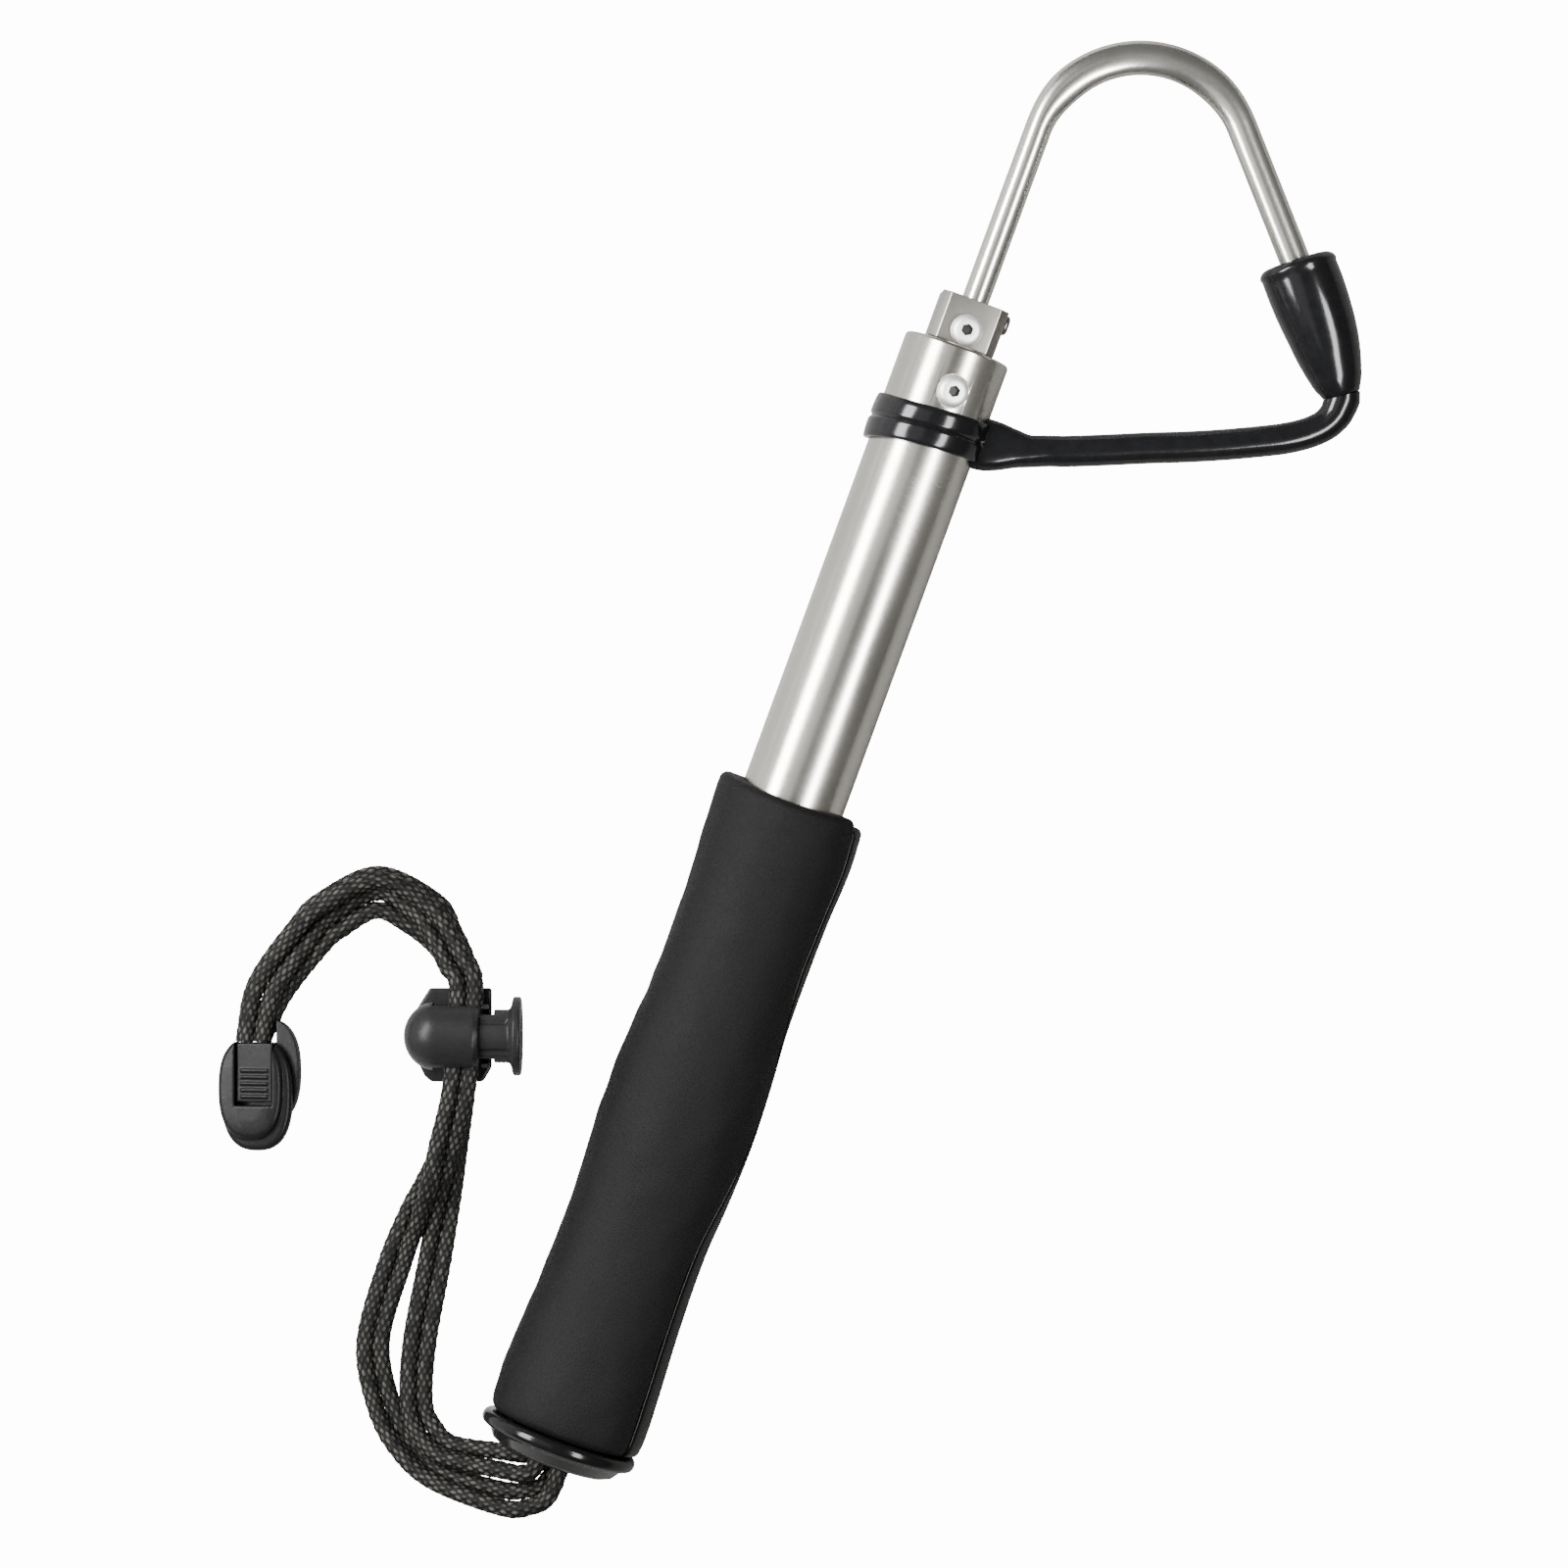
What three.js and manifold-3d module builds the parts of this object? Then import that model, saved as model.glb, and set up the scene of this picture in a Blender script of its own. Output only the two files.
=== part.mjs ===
// A fishing gaff: a hook on a telescopic tube with a foam grip, a wrist cord and a swinging point guard.
// Millimetres. While it is drawn, the tube's axis is Y, the hook is at +Y, its point side is +X,
// up is +Z, Z = 0 is the tube's axis and Y = 0 is the lower edge of the butt flange.
import * as THREE from "three";
import { mergeVertices } from "three/addons/utils/BufferGeometryUtils.js";
import Module from "manifold-3d";

const wasm = await Module();
wasm.setup();

// Clearances that the pieces share
const seatGap = 0.3;
const bushFit = 0.1;
const overrun = 1;

// Counts of faces
const roundSides = 32;
const wireSides = 10;
const screwSides = 12;
const holeSides = 20;
const socketSides = 6;
const edgeSteps = 3;
const curveSteps = 5;
const bevelSteps = 2;

// Telescopic tube
const tubeRadius = 12.5;
const tubeWall = 0.8;
const sectionStep = 0.7;
const tubeFoot = 3.8;
const tubeLength = 249.7;
const middleFoot = 18;
const innerFoot = 21;
const middleTopDrop = 1.5;
const bushLength = 12;

const tubeTop = tubeFoot + tubeLength;
const outerBore = tubeRadius - tubeWall;
const middleRadius = outerBore - sectionStep;
const middleBore = middleRadius - tubeWall;
const innerRadius = middleBore - sectionStep;
const innerBore = innerRadius - tubeWall;
const middleTop = tubeTop - middleTopDrop;

// End cap
const flangeRadius = 19;
const flangeThickness = 3.5;
const flangeRim = 1.6;
const capDomeDepth = 3.5;
const capFootRadius = 12;
const capFlareRadius = 9.2;
const capHoleRadius = 5.5;
const capHoleFoot = 2.3;
const capFloor = 5.2;
const cupRadius = 9.7;
const plugFit = 0.2;
const plugLength = 12.5;
const plugBevel = 0.8;

// Knot of the wrist cord
const knotRadius = 8.5;
const knotHeight = 8.6;

// Grip sleeve and its spine
const gripRadius = 18.8;
const gripLength = 160;
const gripOffset = 0.4;
const gripSegments = 20;
const spineSegments = 6;
const spineRearDegrees = -49;
const spineInset = 2.2;
// Along the grip from its foot: share of the length, share of the radius
const gripRadiusShares = [
  [0, 0.93], [0.012, 0.975], [0.04, 1], [0.114, 0.985], [0.1725, 0.957], [0.23, 0.936], [0.302, 0.925],
  [0.375, 0.948], [0.4325, 0.976], [0.51, 0.991], [0.575, 0.977], [0.664, 0.92], [0.752, 0.911],
  [0.839, 0.924], [0.908, 0.952], [0.954, 0.976], [0.985, 0.962], [1, 0.9],
];
// Along the grip from its foot: share of the length, share of the front seam's largest angle
const seamAngle = 37;
const seamAngleShares = [
  [0, 0.89], [0.35, 0.8], [0.5, 0.27], [0.57, 0.05], [0.63, 0.22], [0.75, 0.68], [1, 1],
];

// Head collar
const collarRadius = 12.85;
const collarLength = 22.2;
const collarEdge = 1;
const collarSocketDepth = 16.5;

// Guard ring, which covers the mouth of the outer tube
const ringRadius = 14.35;
const ringGroove = 0.45;
const ringLength = 9;
const ringFit = 0.15;
const ringLap = 1.4;
const ringTilt = 4.5;

// Button head screws of the collar and of the block
const buttonHeadRadius = 3.8;
const buttonHeadHeight = 2.1;
const buttonShankRadius = 2;
const buttonSocketRadius = 1.45;
const buttonSocketDepth = 1.2;
// Of a screw head: where its curve turns, and the flat round its socket
const headCrownShare = 0.86;
const headLandShare = 0.46;
const screwHoleFit = 0.3;
const spotFaceDepth = 0.6;
const collarScrewHeight = 11.4;
const collarScrewTurn = 10.4;
const collarScrewReach = 1;

// Hook block
const blockWidth = 16.4;
const blockHeight = 11.3;
const blockBevel = 2;
const blockTurn = 3;
const blockScrewHeight = 3.8;

// Side screw of the block
const sideHeadRadius = 2.4;
const sideHeadHeight = 1;
const sideShankRadius = 1.5;
const sideSocketRadius = 1;
const sideSocketDepth = 0.6;
const sideScrewHeight = 8.7;

// Hook
const wireWidth = 6.5;
const wireThickness = 6.5;
const bendWidth = 8.2;
const bendThickness = 6;
const legWidth = 7.3;
const pointWidth = 0.6;
const pointTaper = 18;
const shankLength = 43.6;
const shankFootRise = 1;
const bendRadius = 25.8;
const bendDegrees = 138.3;
const legLength = 54.2;
const bendSteps = 14;
const bendBlend = 9;

// Swing of the guard's arm, and the arm
const pivotOut = 18.8;
const pivotRise = 2.2;
const pivotSeat = 0.5;
const bossInset = 0.1;
const bossSide = 0.6;
const armRadius = 3.7;
const armSteps = 14;
// Of a half turn: where the round end of the arm has a ring of points
const armEndShares = [0.42, 0.25];

// Guard cone, from its closed foot to its mouth. The hook's point stands clear of the socket's end.
const pointGap = 6.553;
const pointShift = 0.744;
const coneLean = 38;
const coneLength = 33.2;
const coneFootRadius = 4;
const coneMouthRadius = 8.7;
const coneFootEdge = 0.7;
const coneWall = 1.6;
const coneSocketDepth = 26;
const coneSides = 20;
const coneSteps = 8;
const coneBulge = 1.1;
const coneBulgeSkew = 0.6;
// Along the arm, from the swing to the foot of the cone: share of the way out, share of the rise
const armShares = [
  [0, 0], [0.08, 0.018], [0.204, 0.092], [0.325, 0.184], [0.447, 0.278], [0.569, 0.366],
  [0.689, 0.466], [0.808, 0.575], [0.915, 0.7], [0.986, 0.835], [1, 1],
];

// Cord lock. Its own axes: X from the ball to the flange, Y along the cords, Z up.
const lockPlace = [-59.3, 81];
const lockTurn = 20.1;
const lockHeight = 9.7;
const barrelHalfHeight = 8.4;
const barrelHalfWidth = 7.6;
const barrelDomeEnd = -8.8;
const barrelShoulder = -1;
const barrelEnd = 9.2;
const barrelEndRound = 1.2;
const lockCollarInset = 0.6;
const lockCollarEnd = 11.4;
const earsLeft = -8.8;
const earsRight = 11.8;
const earsHalf = 11.2;
const earsFoot = 1.5;
const earsThickness = 3.1;
const lockCordLeft = 0.9;
const lockCordRight = 9.7;
const lockCordTop = 3.3;
const lockCordFoot = -4.9;
const plungerTravel = 2.5;
const boreHalfHeight = 6.9;
const boreHalfWidth = 6.3;
const springBoreRadius = 4.2;
const springBoreEnd = -6.8;
const stemPlateHalfWidth = 5.9;
const stemPlateHalfHeight = 2;
const stemRibHalfWidth = 2.8;
const stemRibHalfHeight = 6;
const stemEndWall = 2.1;
const lockSides = 20;
const lockFlangeRadius = 9.4;
const lockFlangeThickness = 2.8;
const lockFlangeNeck = 6.5;
const lockFlangeCone = 2.2;

// Spring of the cord lock, seen compressed behind the plunger
const springRadius = 3.1;
const springWireRadius = 0.35;
const springCurls = 2;
const springCurlSteps = 8;
const springLength = 1.9;
const springSides = 5;

// Cord clip. Its own axes: X across, Y towards the cords, Z up, Z = 0 between its two shells.
const clipPlace = [-95.9, 52.6];
const clipTurn = 20.1;
const clipTilt = -14;
const clipHeight = 5.4;
const clipHalfWidth = 8.7;
const clipFrontHalfLength = 13.4;
const clipFrontThickness = 3.9;
const clipBackHalfLength = 14.6;
const clipBackThickness = 3.3;
const clipBackOffset = [1.7, 3.5];
const clipRound = 0.9;
const clipSquareness = 2.5;
const clipWindowLeft = -4.4;
const clipWindowRight = 5.1;
const clipWindowFoot = -2.6;
const clipNotchRight = 6.2;
const clipNotchFoot = 9.4;
const clipOutlineSteps = 24;
const tongueTop = 12.3;
const tongueThickness = 2.9;
const tongueRib = 0.7;
const tongueRibs = 5;
const tongueHeelFoot = 9.7;
const tongueHeelSide = 1;

// Wrist cord: four strands from the knot through the cap and the lock to the clip
const strandRadius = 1.8;
const strandSides = 8;
// Chosen places, each an X, a Y and a height above the floor
const strandRoutes = {
  cord_strand_1: [
    [-1.9, 5.2, 17.1], [-3, -1.7, 16.8], [-5.9, -4.6, 15.8], [-11.9, -6.4, 13.2], [-23.3, -9.5, 6.8],
    [-28.9, -7.6, 4], [-33.2, -3, 2.4], [-37.2, 10.3, 1.9], [-40.5, 29.3, 1.9], [-43, 42.2, 2.3],
    [-44.4, 49.2, 3.2], [-46.1, 56.9, 4.6], [-49.5, 72.3, 7], [-55.8, 94.4, 6.9], [-60.1, 100.2, 5.3],
    [-65.1, 105.1, 3.6], [-71.6, 110.4, 2.4], [-87, 111.7, 1.9], [-97.8, 101, 1.9], [-101.2, 93.3, 1.9],
    [-105.5, 77, 2], [-103.5, 63.8, 2.4],
  ],
  cord_strand_2: [
    [-1.9, 5.2, 20.9], [-3, -6, 20.2], [-5.6, -8.9, 18.9], [-10.3, -10.1, 16.4], [-23.4, -12.9, 9.2],
    [-30.3, -11.4, 6], [-36.2, -5.5, 3.3], [-41, 8.9, 1.9], [-44.2, 28, 1.9], [-46.3, 41.1, 4],
    [-47.2, 48.4, 6.3], [-47.7, 56.6, 8.3], [-49.3, 72.6, 10.8], [-55.6, 94.6, 10.8], [-60.2, 99.7, 9.3],
    [-65.9, 104.5, 7.5], [-72.8, 108.9, 6.1], [-86.3, 110.6, 5.7], [-96.6, 100.4, 6.5], [-100.5, 92.9, 6],
    [-104.8, 76.9, 5.8], [-103, 64.1, 6.2],
  ],
  cord_strand_3: [
    [2, 5.2, 17.1], [0.8, -8.6, 16.2], [-3, -12.5, 15], [-8.5, -14.9, 12.8], [-23.5, -16.7, 6.2],
    [-31.2, -14.4, 2.9], [-38.8, -7.9, 1.9], [-47.7, 6.5, 1.9], [-49.3, 26.1, 1.9], [-49.4, 39.9, 6],
    [-49.7, 47.5, 9.2], [-51, 55.6, 10.3], [-53, 71.3, 10.9], [-59.3, 92.9, 10.9], [-63.5, 96.9, 9],
    [-68.4, 101.5, 6.6], [-74.3, 105.6, 4], [-85.4, 107.8, 2.5], [-94.1, 98.5, 2.6], [-96.8, 91.9, 3.8],
    [-100.6, 77.4, 5.7], [-99.4, 65.4, 6.1],
  ],
  cord_strand_4: [
    [2.2, 5.2, 20.9], [2.6, -10.4, 20.1], [-0.9, -15.6, 18.6], [-7.3, -18.5, 15.8], [-24.7, -19.2, 9.2],
    [-35.2, -15.5, 5.7], [-43.6, -8.4, 2.6], [-51.4, 5.1, 1.9], [-53.2, 24.7, 1.9], [-52.6, 38.5, 2.8],
    [-51.4, 46.5, 4.6], [-50.8, 55.3, 5.8], [-53.1, 71, 7.1], [-59.3, 92.8, 6.8], [-63.5, 97.1, 4.5],
    [-68.9, 100.5, 2.4], [-76.1, 102.8, 1.9], [-84.4, 103.5, 1.9], [-90.7, 96.3, 1.9], [-93.6, 91.1, 1.9],
    [-98.2, 76.9, 1.9], [-99.2, 65.3, 2.4],
  ],
};

// Levels that several pieces share
const collarFoot = tubeTop + seatGap;
const collarTop = collarFoot + collarLength;
const collarShoulder = collarFoot + collarSocketDepth;
const wireHole = wireThickness / 2 + seatGap;
const blockFoot = collarTop + seatGap;
const blockTop = blockFoot + blockHeight;
const ringFoot = tubeTop - ringLap;
const ringMiddle = ringFoot + ringLength / 2;
const bendStart = blockTop + shankLength;
const bendAngle = THREE.MathUtils.degToRad(bendDegrees);
const pivotHeight = ringMiddle + pivotRise;
const screwHole = buttonShankRadius + screwHoleFit;

// Finishes, as colour, roughness and metalness
const finishes = {
  brushedSteel: { color: 0x9b9792, roughness: 0.38, metalness: 0.95 },
  polishedSteel: { color: 0xb4b4b2, roughness: 0.22, metalness: 1 },
  screwSteel: { color: 0x8d8d8c, roughness: 0.3, metalness: 1 },
  blackFoam: { color: 0x17171a, roughness: 0.95, metalness: 0 },
  blackGloss: { color: 0x08080a, roughness: 0.16, metalness: 0 },
  blackMoulded: { color: 0x1b1c1f, roughness: 0.5, metalness: 0 },
  blackBraid: { color: 0x0e0e11, roughness: 0.85, metalness: 0 },
  whiteNylon: { color: 0xd6d6d0, roughness: 0.5, metalness: 0 },
};

// Joins the shared corners, drops empty triangles and turns the faces outwards.
function closed(geometry) {
  geometry.deleteAttribute("normal");
  geometry.deleteAttribute("uv");
  const merged = mergeVertices(geometry);
  const corners = Array.from(merged.index.array);
  const place = merged.attributes.position;
  const [a, b, c] = [new THREE.Vector3(), new THREE.Vector3(), new THREE.Vector3()];
  const kept = [];
  let volume = 0;
  for (let i = 0; i < corners.length; i += 3) {
    const [first, second, third] = corners.slice(i, i + 3);
    if (first === second || second === third || third === first) continue;
    kept.push([first, second, third]);
    a.fromBufferAttribute(place, first);
    b.fromBufferAttribute(place, second);
    c.fromBufferAttribute(place, third);
    volume += a.dot(b.cross(c));
  }
  const facing = volume < 0 ? kept.map(([first, second, third]) => [first, third, second]) : kept;
  merged.setIndex(facing.flat());
  return merged;
}

// A closed shape as a solid that can be cut and joined, and back again
function solid(geometry) {
  const vertProperties = new Float32Array(geometry.attributes.position.array);
  const triVerts = new Uint32Array(geometry.index.array);
  return new wasm.Manifold(new wasm.Mesh({ numProp: 3, vertProperties, triVerts }));
}

function surface(manifold) {
  const mesh = manifold.getMesh();
  const geometry = new THREE.BufferGeometry();
  geometry.setAttribute("position", new THREE.BufferAttribute(mesh.vertProperties, 3));
  geometry.setIndex(new THREE.BufferAttribute(mesh.triVerts, 1));
  return geometry;
}

// A turned piece about Y, from an outline of radii and heights
function turned(path, sides, steps = edgeSteps) {
  return closed(new THREE.LatheGeometry(path.getPoints(steps), sides));
}

function outlineOf(points) {
  const path = new THREE.Path();
  path.moveTo(...points[0]);
  for (const point of points.slice(1)) path.lineTo(...point);
  return path;
}

function pipe(bore, radius, foot, top, sides = roundSides) {
  const path = outlineOf([[bore, foot], [radius, foot], [radius, top], [bore, top]]);
  path.closePath();
  return turned(path, sides);
}

function rod(radius, foot, top, sides) {
  return turned(outlineOf([[0, foot], [radius, foot], [radius, top], [0, top]]), sides);
}

function block(low, high) {
  const size = high.map((value, i) => value - low[i]);
  const middle = high.map((value, i) => (value + low[i]) / 2);
  return closed(new THREE.BoxGeometry(...size)).translate(...middle);
}

// Joins rings of equally many points, one after another, and closes both ends.
function loft(rings) {
  const count = rings[0].length;
  const places = rings.flat();
  const corners = [];
  for (let ring = 0; ring + 1 < rings.length; ring += 1) {
    for (let i = 0; i < count; i += 1) {
      const near = ring * count + i;
      const next = ring * count + (i + 1) % count;
      corners.push(near, next, next + count, near, next + count, near + count);
    }
  }
  const last = (rings.length - 1) * count;
  for (let i = 1; i + 1 < count; i += 1) {
    corners.push(0, i + 1, i, last, last + i, last + i + 1);
  }
  const geometry = new THREE.BufferGeometry().setFromPoints(places);
  geometry.setIndex(corners);
  return closed(geometry);
}

// A ring of points about a centre, in the plane of two directions, with a size along each
function ringAt(centre, across, over, width, height, count) {
  const ring = [];
  for (let i = 0; i < count; i += 1) {
    const angle = 2 * Math.PI * i / count;
    const point = centre.clone();
    point.addScaledVector(across, width * Math.cos(angle));
    point.addScaledVector(over, height * Math.sin(angle));
    ring.push(point);
  }
  return ring;
}

// The value of a table at a share, straight between its rows
function follow(table, share) {
  const next = Math.max(1, table.findIndex((row) => row[0] >= share));
  const [before, after] = [table[next - 1], table[next]];
  return THREE.MathUtils.mapLinear(share, before[0], after[0], before[1], after[1]);
}

// A button head screw along Z, with the seat of its head at Z = 0
function screw({ headRadius, headHeight, shankRadius, shankLength, socketRadius, socketDepth }) {
  const path = outlineOf([[0, -shankLength], [shankRadius, -shankLength], [shankRadius, 0], [headRadius, 0]]);
  path.quadraticCurveTo(headRadius * headCrownShare, headHeight, headRadius * headLandShare, headHeight);
  path.lineTo(0, headHeight);
  const socket = rod(socketRadius, headHeight - socketDepth, headHeight + overrun, socketSides);
  return surface(solid(turned(path, screwSides)).subtract(solid(socket))).rotateX(Math.PI / 2);
}

function buttonScrew(shankLength) {
  return screw({
    headRadius: buttonHeadRadius,
    headHeight: buttonHeadHeight,
    shankRadius: buttonShankRadius,
    shankLength,
    socketRadius: buttonSocketRadius,
    socketDepth: buttonSocketDepth,
  });
}

// The collar's screw stands square on a flat that is cut into the collar.
const collarFlat = collarRadius - spotFaceDepth;
const collarScrewSeat = collarFlat + seatGap;
const collarScrewY = collarFoot + collarScrewHeight;

function aroundCollar(geometry) {
  return geometry.translate(0, collarScrewY, 0).rotateY(THREE.MathUtils.degToRad(collarScrewTurn));
}

function screwBore(radius, from, to) {
  return rod(radius, from, to, screwSides).rotateX(Math.PI / 2);
}

// The hook's bend, its straight leg and its point
const bendCentre = new THREE.Vector3(bendRadius, bendStart, 0);
const bendEndOutward = new THREE.Vector3(-Math.cos(bendAngle), Math.sin(bendAngle), 0);
const legStart = bendCentre.clone().addScaledVector(bendEndOutward, bendRadius);
const legAlong = new THREE.Vector3(bendEndOutward.y, -bendEndOutward.x, 0);
const hookPoint = legStart.clone().addScaledVector(legAlong, legLength);

// The middle of the hook's rod, the direction along it, and its width and thickness there
function hookStations() {
  const foot = collarShoulder + shankFootRise;
  const stations = [];
  const add = (place, along, width, thickness) => stations.push({ place, along, width, thickness });
  const up = new THREE.Vector3(0, 1, 0);
  add(new THREE.Vector3(0, foot, 0), up, wireWidth, wireThickness);
  add(new THREE.Vector3(0, blockTop, 0), up, wireWidth, wireThickness);
  add(new THREE.Vector3(0, bendStart - bendBlend, 0), up, wireWidth, wireThickness);
  for (let i = 0; i <= bendSteps; i += 1) {
    const angle = Math.PI - bendAngle * i / bendSteps;
    const outward = new THREE.Vector3(Math.cos(angle), Math.sin(angle), 0);
    const along = new THREE.Vector3(outward.y, -outward.x, 0);
    const fullness = Math.sqrt(Math.sin(Math.PI * i / bendSteps));
    const start = i < bendSteps / 2 ? wireWidth : legWidth;
    const width = THREE.MathUtils.lerp(start, bendWidth, fullness);
    const thickness = THREE.MathUtils.lerp(wireThickness, bendThickness, fullness);
    add(bendCentre.clone().addScaledVector(outward, bendRadius), along, width, thickness);
  }
  const leg = (distance) => legStart.clone().addScaledVector(legAlong, distance);
  const taperStart = legLength - pointTaper;
  add(leg(taperStart / 2), legAlong, legWidth, wireThickness);
  add(leg(taperStart), legAlong, legWidth, wireThickness);
  const taperShares = [[0.3, 0.86], [0.6, 0.6], [0.85, 0.27], [1, 0]];
  for (const [share, fullness] of taperShares) {
    const width = THREE.MathUtils.lerp(pointWidth, legWidth, fullness);
    const thickness = THREE.MathUtils.lerp(pointWidth, wireThickness, fullness);
    add(leg(taperStart + pointTaper * share), legAlong, width, thickness);
  }
  return stations;
}

function hookWire() {
  const over = new THREE.Vector3(0, 0, 1);
  const rings = hookStations().map(({ place, along, width, thickness }) => {
    const across = new THREE.Vector3().crossVectors(along, over);
    return ringAt(place, across, over, width / 2, thickness / 2, wireSides);
  });
  return loft(rings);
}

function endCap() {
  const underside = (flangeRadius + capFootRadius) / 2;
  const plugRadius = outerBore - plugFit;
  const plugTop = flangeThickness + plugLength;
  const path = new THREE.Path();
  path.moveTo(capFlareRadius, -capDomeDepth);
  path.lineTo(capFootRadius, -capDomeDepth);
  path.quadraticCurveTo(underside, -capDomeDepth + flangeRim / 2, flangeRadius - flangeRim, 0);
  path.quadraticCurveTo(flangeRadius, 0, flangeRadius, flangeRim);
  path.lineTo(flangeRadius, flangeThickness - flangeRim);
  path.quadraticCurveTo(flangeRadius, flangeThickness, flangeRadius - flangeRim, flangeThickness);
  path.lineTo(plugRadius, flangeThickness);
  path.lineTo(plugRadius, plugTop - plugBevel);
  path.lineTo(plugRadius - plugBevel, plugTop);
  path.lineTo(cupRadius, plugTop);
  path.lineTo(cupRadius, capFloor);
  path.lineTo(capHoleRadius, capFloor);
  path.lineTo(capHoleRadius, capHoleFoot);
  path.quadraticCurveTo(capHoleRadius, -capDomeDepth + flangeRim / 2, capFlareRadius, -capDomeDepth);
  return turned(path, roundSides);
}

function cordKnot() {
  const foot = capFloor + seatGap;
  const top = foot + knotHeight;
  const path = outlineOf([[0, foot], [knotRadius / 2, foot]]);
  path.quadraticCurveTo(knotRadius, foot, knotRadius, foot + knotHeight / 3);
  path.quadraticCurveTo(knotRadius, top, knotRadius / 3, top);
  path.lineTo(0, top);
  return turned(path, screwSides);
}

// One strip of the grip between two angles about the tube, hollow for the tube
function sleeve(angleFrom, angleTo, segments, inset) {
  const bore = tubeRadius + seatGap;
  const outer = [];
  const inner = [];
  for (const [share, radiusShare] of gripRadiusShares) {
    const end = share === gripRadiusShares.at(-1)[0] ? inset : 0;
    const height = tubeFoot + gripLength * share - end;
    const radius = gripRadius * radiusShare;
    const from = THREE.MathUtils.degToRad(angleFrom(share)) + seatGap / bore / 2;
    const to = THREE.MathUtils.degToRad(angleTo(share)) - seatGap / bore / 2;
    for (let i = 0; i <= segments; i += 1) {
      const angle = THREE.MathUtils.lerp(from, to, i / segments);
      const [x, z] = [Math.cos(angle), Math.sin(angle)];
      outer.push(new THREE.Vector3(gripOffset + radius * x, height, radius * z));
      inner.push(new THREE.Vector3(bore * x, height, bore * z));
    }
  }
  const row = segments + 1;
  const rows = gripRadiusShares.length;
  const hidden = outer.length;
  const corners = [];
  const quad = (a, b, c, d) => corners.push(a, b, c, a, c, d);
  for (let station = 0; station + 1 < rows; station += 1) {
    const here = station * row;
    for (let i = 0; i < segments; i += 1) {
      const near = here + i;
      quad(near, near + 1, near + 1 + row, near + row);
      quad(hidden + near, hidden + near + row, hidden + near + 1 + row, hidden + near + 1);
    }
    const edge = here + segments;
    quad(here, here + row, hidden + here + row, hidden + here);
    quad(edge, hidden + edge, hidden + edge + row, edge + row);
  }
  const last = (rows - 1) * row;
  for (let i = 0; i < segments; i += 1) {
    quad(i, hidden + i, hidden + i + 1, i + 1);
    quad(last + i, last + i + 1, hidden + last + i + 1, hidden + last + i);
  }
  const geometry = new THREE.BufferGeometry().setFromPoints([...outer, ...inner]);
  geometry.setIndex(corners);
  return closed(geometry);
}

function frontSeam(share) {
  return seamAngle * follow(seamAngleShares, share);
}

function gripFoam() {
  return sleeve(frontSeam, () => 360 + spineRearDegrees, gripSegments, 0);
}

function gripSpine() {
  return sleeve(() => spineRearDegrees, frontSeam, spineSegments, spineInset);
}

function innerTube() {
  const tube = solid(pipe(innerBore, innerRadius, innerFoot, collarShoulder - seatGap));
  const hole = solid(aroundCollar(screwBore(screwHole, innerBore / 2, collarRadius)));
  return surface(tube.subtract(hole));
}

function headCollar() {
  const bore = innerRadius + seatGap;
  const path = outlineOf([[bore, collarFoot], [collarRadius, collarFoot]]);
  path.lineTo(collarRadius, collarTop - collarEdge);
  path.quadraticCurveTo(collarRadius, collarTop, collarRadius - collarEdge, collarTop);
  path.lineTo(wireHole, collarTop);
  path.lineTo(wireHole, collarShoulder);
  path.lineTo(bore, collarShoulder);
  path.closePath();
  const flat = aroundCollar(screwBore(buttonHeadRadius + seatGap, collarFlat, collarRadius + overrun));
  const hole = aroundCollar(screwBore(screwHole, innerRadius, collarRadius));
  return surface(solid(turned(path, roundSides)).subtract(solid(flat)).subtract(solid(hole)));
}

function collarScrew() {
  const shankLength = collarScrewSeat - (innerBore - collarScrewReach);
  return aroundCollar(buttonScrew(shankLength).translate(0, 0, collarScrewSeat));
}

// The block and its screws are drawn about its own middle and turned together.
function hookBlock() {
  const half = blockWidth / 2;
  const inside = half - blockBevel;
  const shape = new THREE.Shape();
  shape.moveTo(inside, half);
  for (const [x, y] of [[-inside, half], [-half, inside], [-half, -inside], [-inside, -half],
    [inside, -half], [half, -inside], [half, inside]]) shape.lineTo(x, y);
  shape.closePath();
  const cube = closed(new THREE.ExtrudeGeometry(shape, { depth: blockHeight, bevelEnabled: false }));
  cube.rotateX(-Math.PI / 2).translate(0, blockFoot, 0);
  const bore = rod(wireHole, blockFoot - overrun, blockTop + overrun, holeSides);
  const front = screwBore(screwHole, 0, half + overrun).translate(0, blockFoot + blockScrewHeight, 0);
  const side = screwBore(sideShankRadius + screwHoleFit, 0, half + overrun).rotateY(Math.PI / 2);
  side.translate(0, blockFoot + sideScrewHeight, 0);
  return surface(solid(cube).subtract(solid(bore)).subtract(solid(front)).subtract(solid(side)));
}

function blockFrontScrew() {
  const seat = blockWidth / 2 + seatGap;
  return buttonScrew(seat - wireHole).translate(0, blockFoot + blockScrewHeight, seat);
}

function blockSideScrew() {
  const seat = blockWidth / 2 + seatGap;
  const piece = screw({
    headRadius: sideHeadRadius,
    headHeight: sideHeadHeight,
    shankRadius: sideShankRadius,
    shankLength: seat - wireHole,
    socketRadius: sideSocketRadius,
    socketDepth: sideSocketDepth,
  });
  return piece.rotateY(Math.PI / 2).translate(seat, blockFoot + sideScrewHeight, 0);
}

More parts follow.
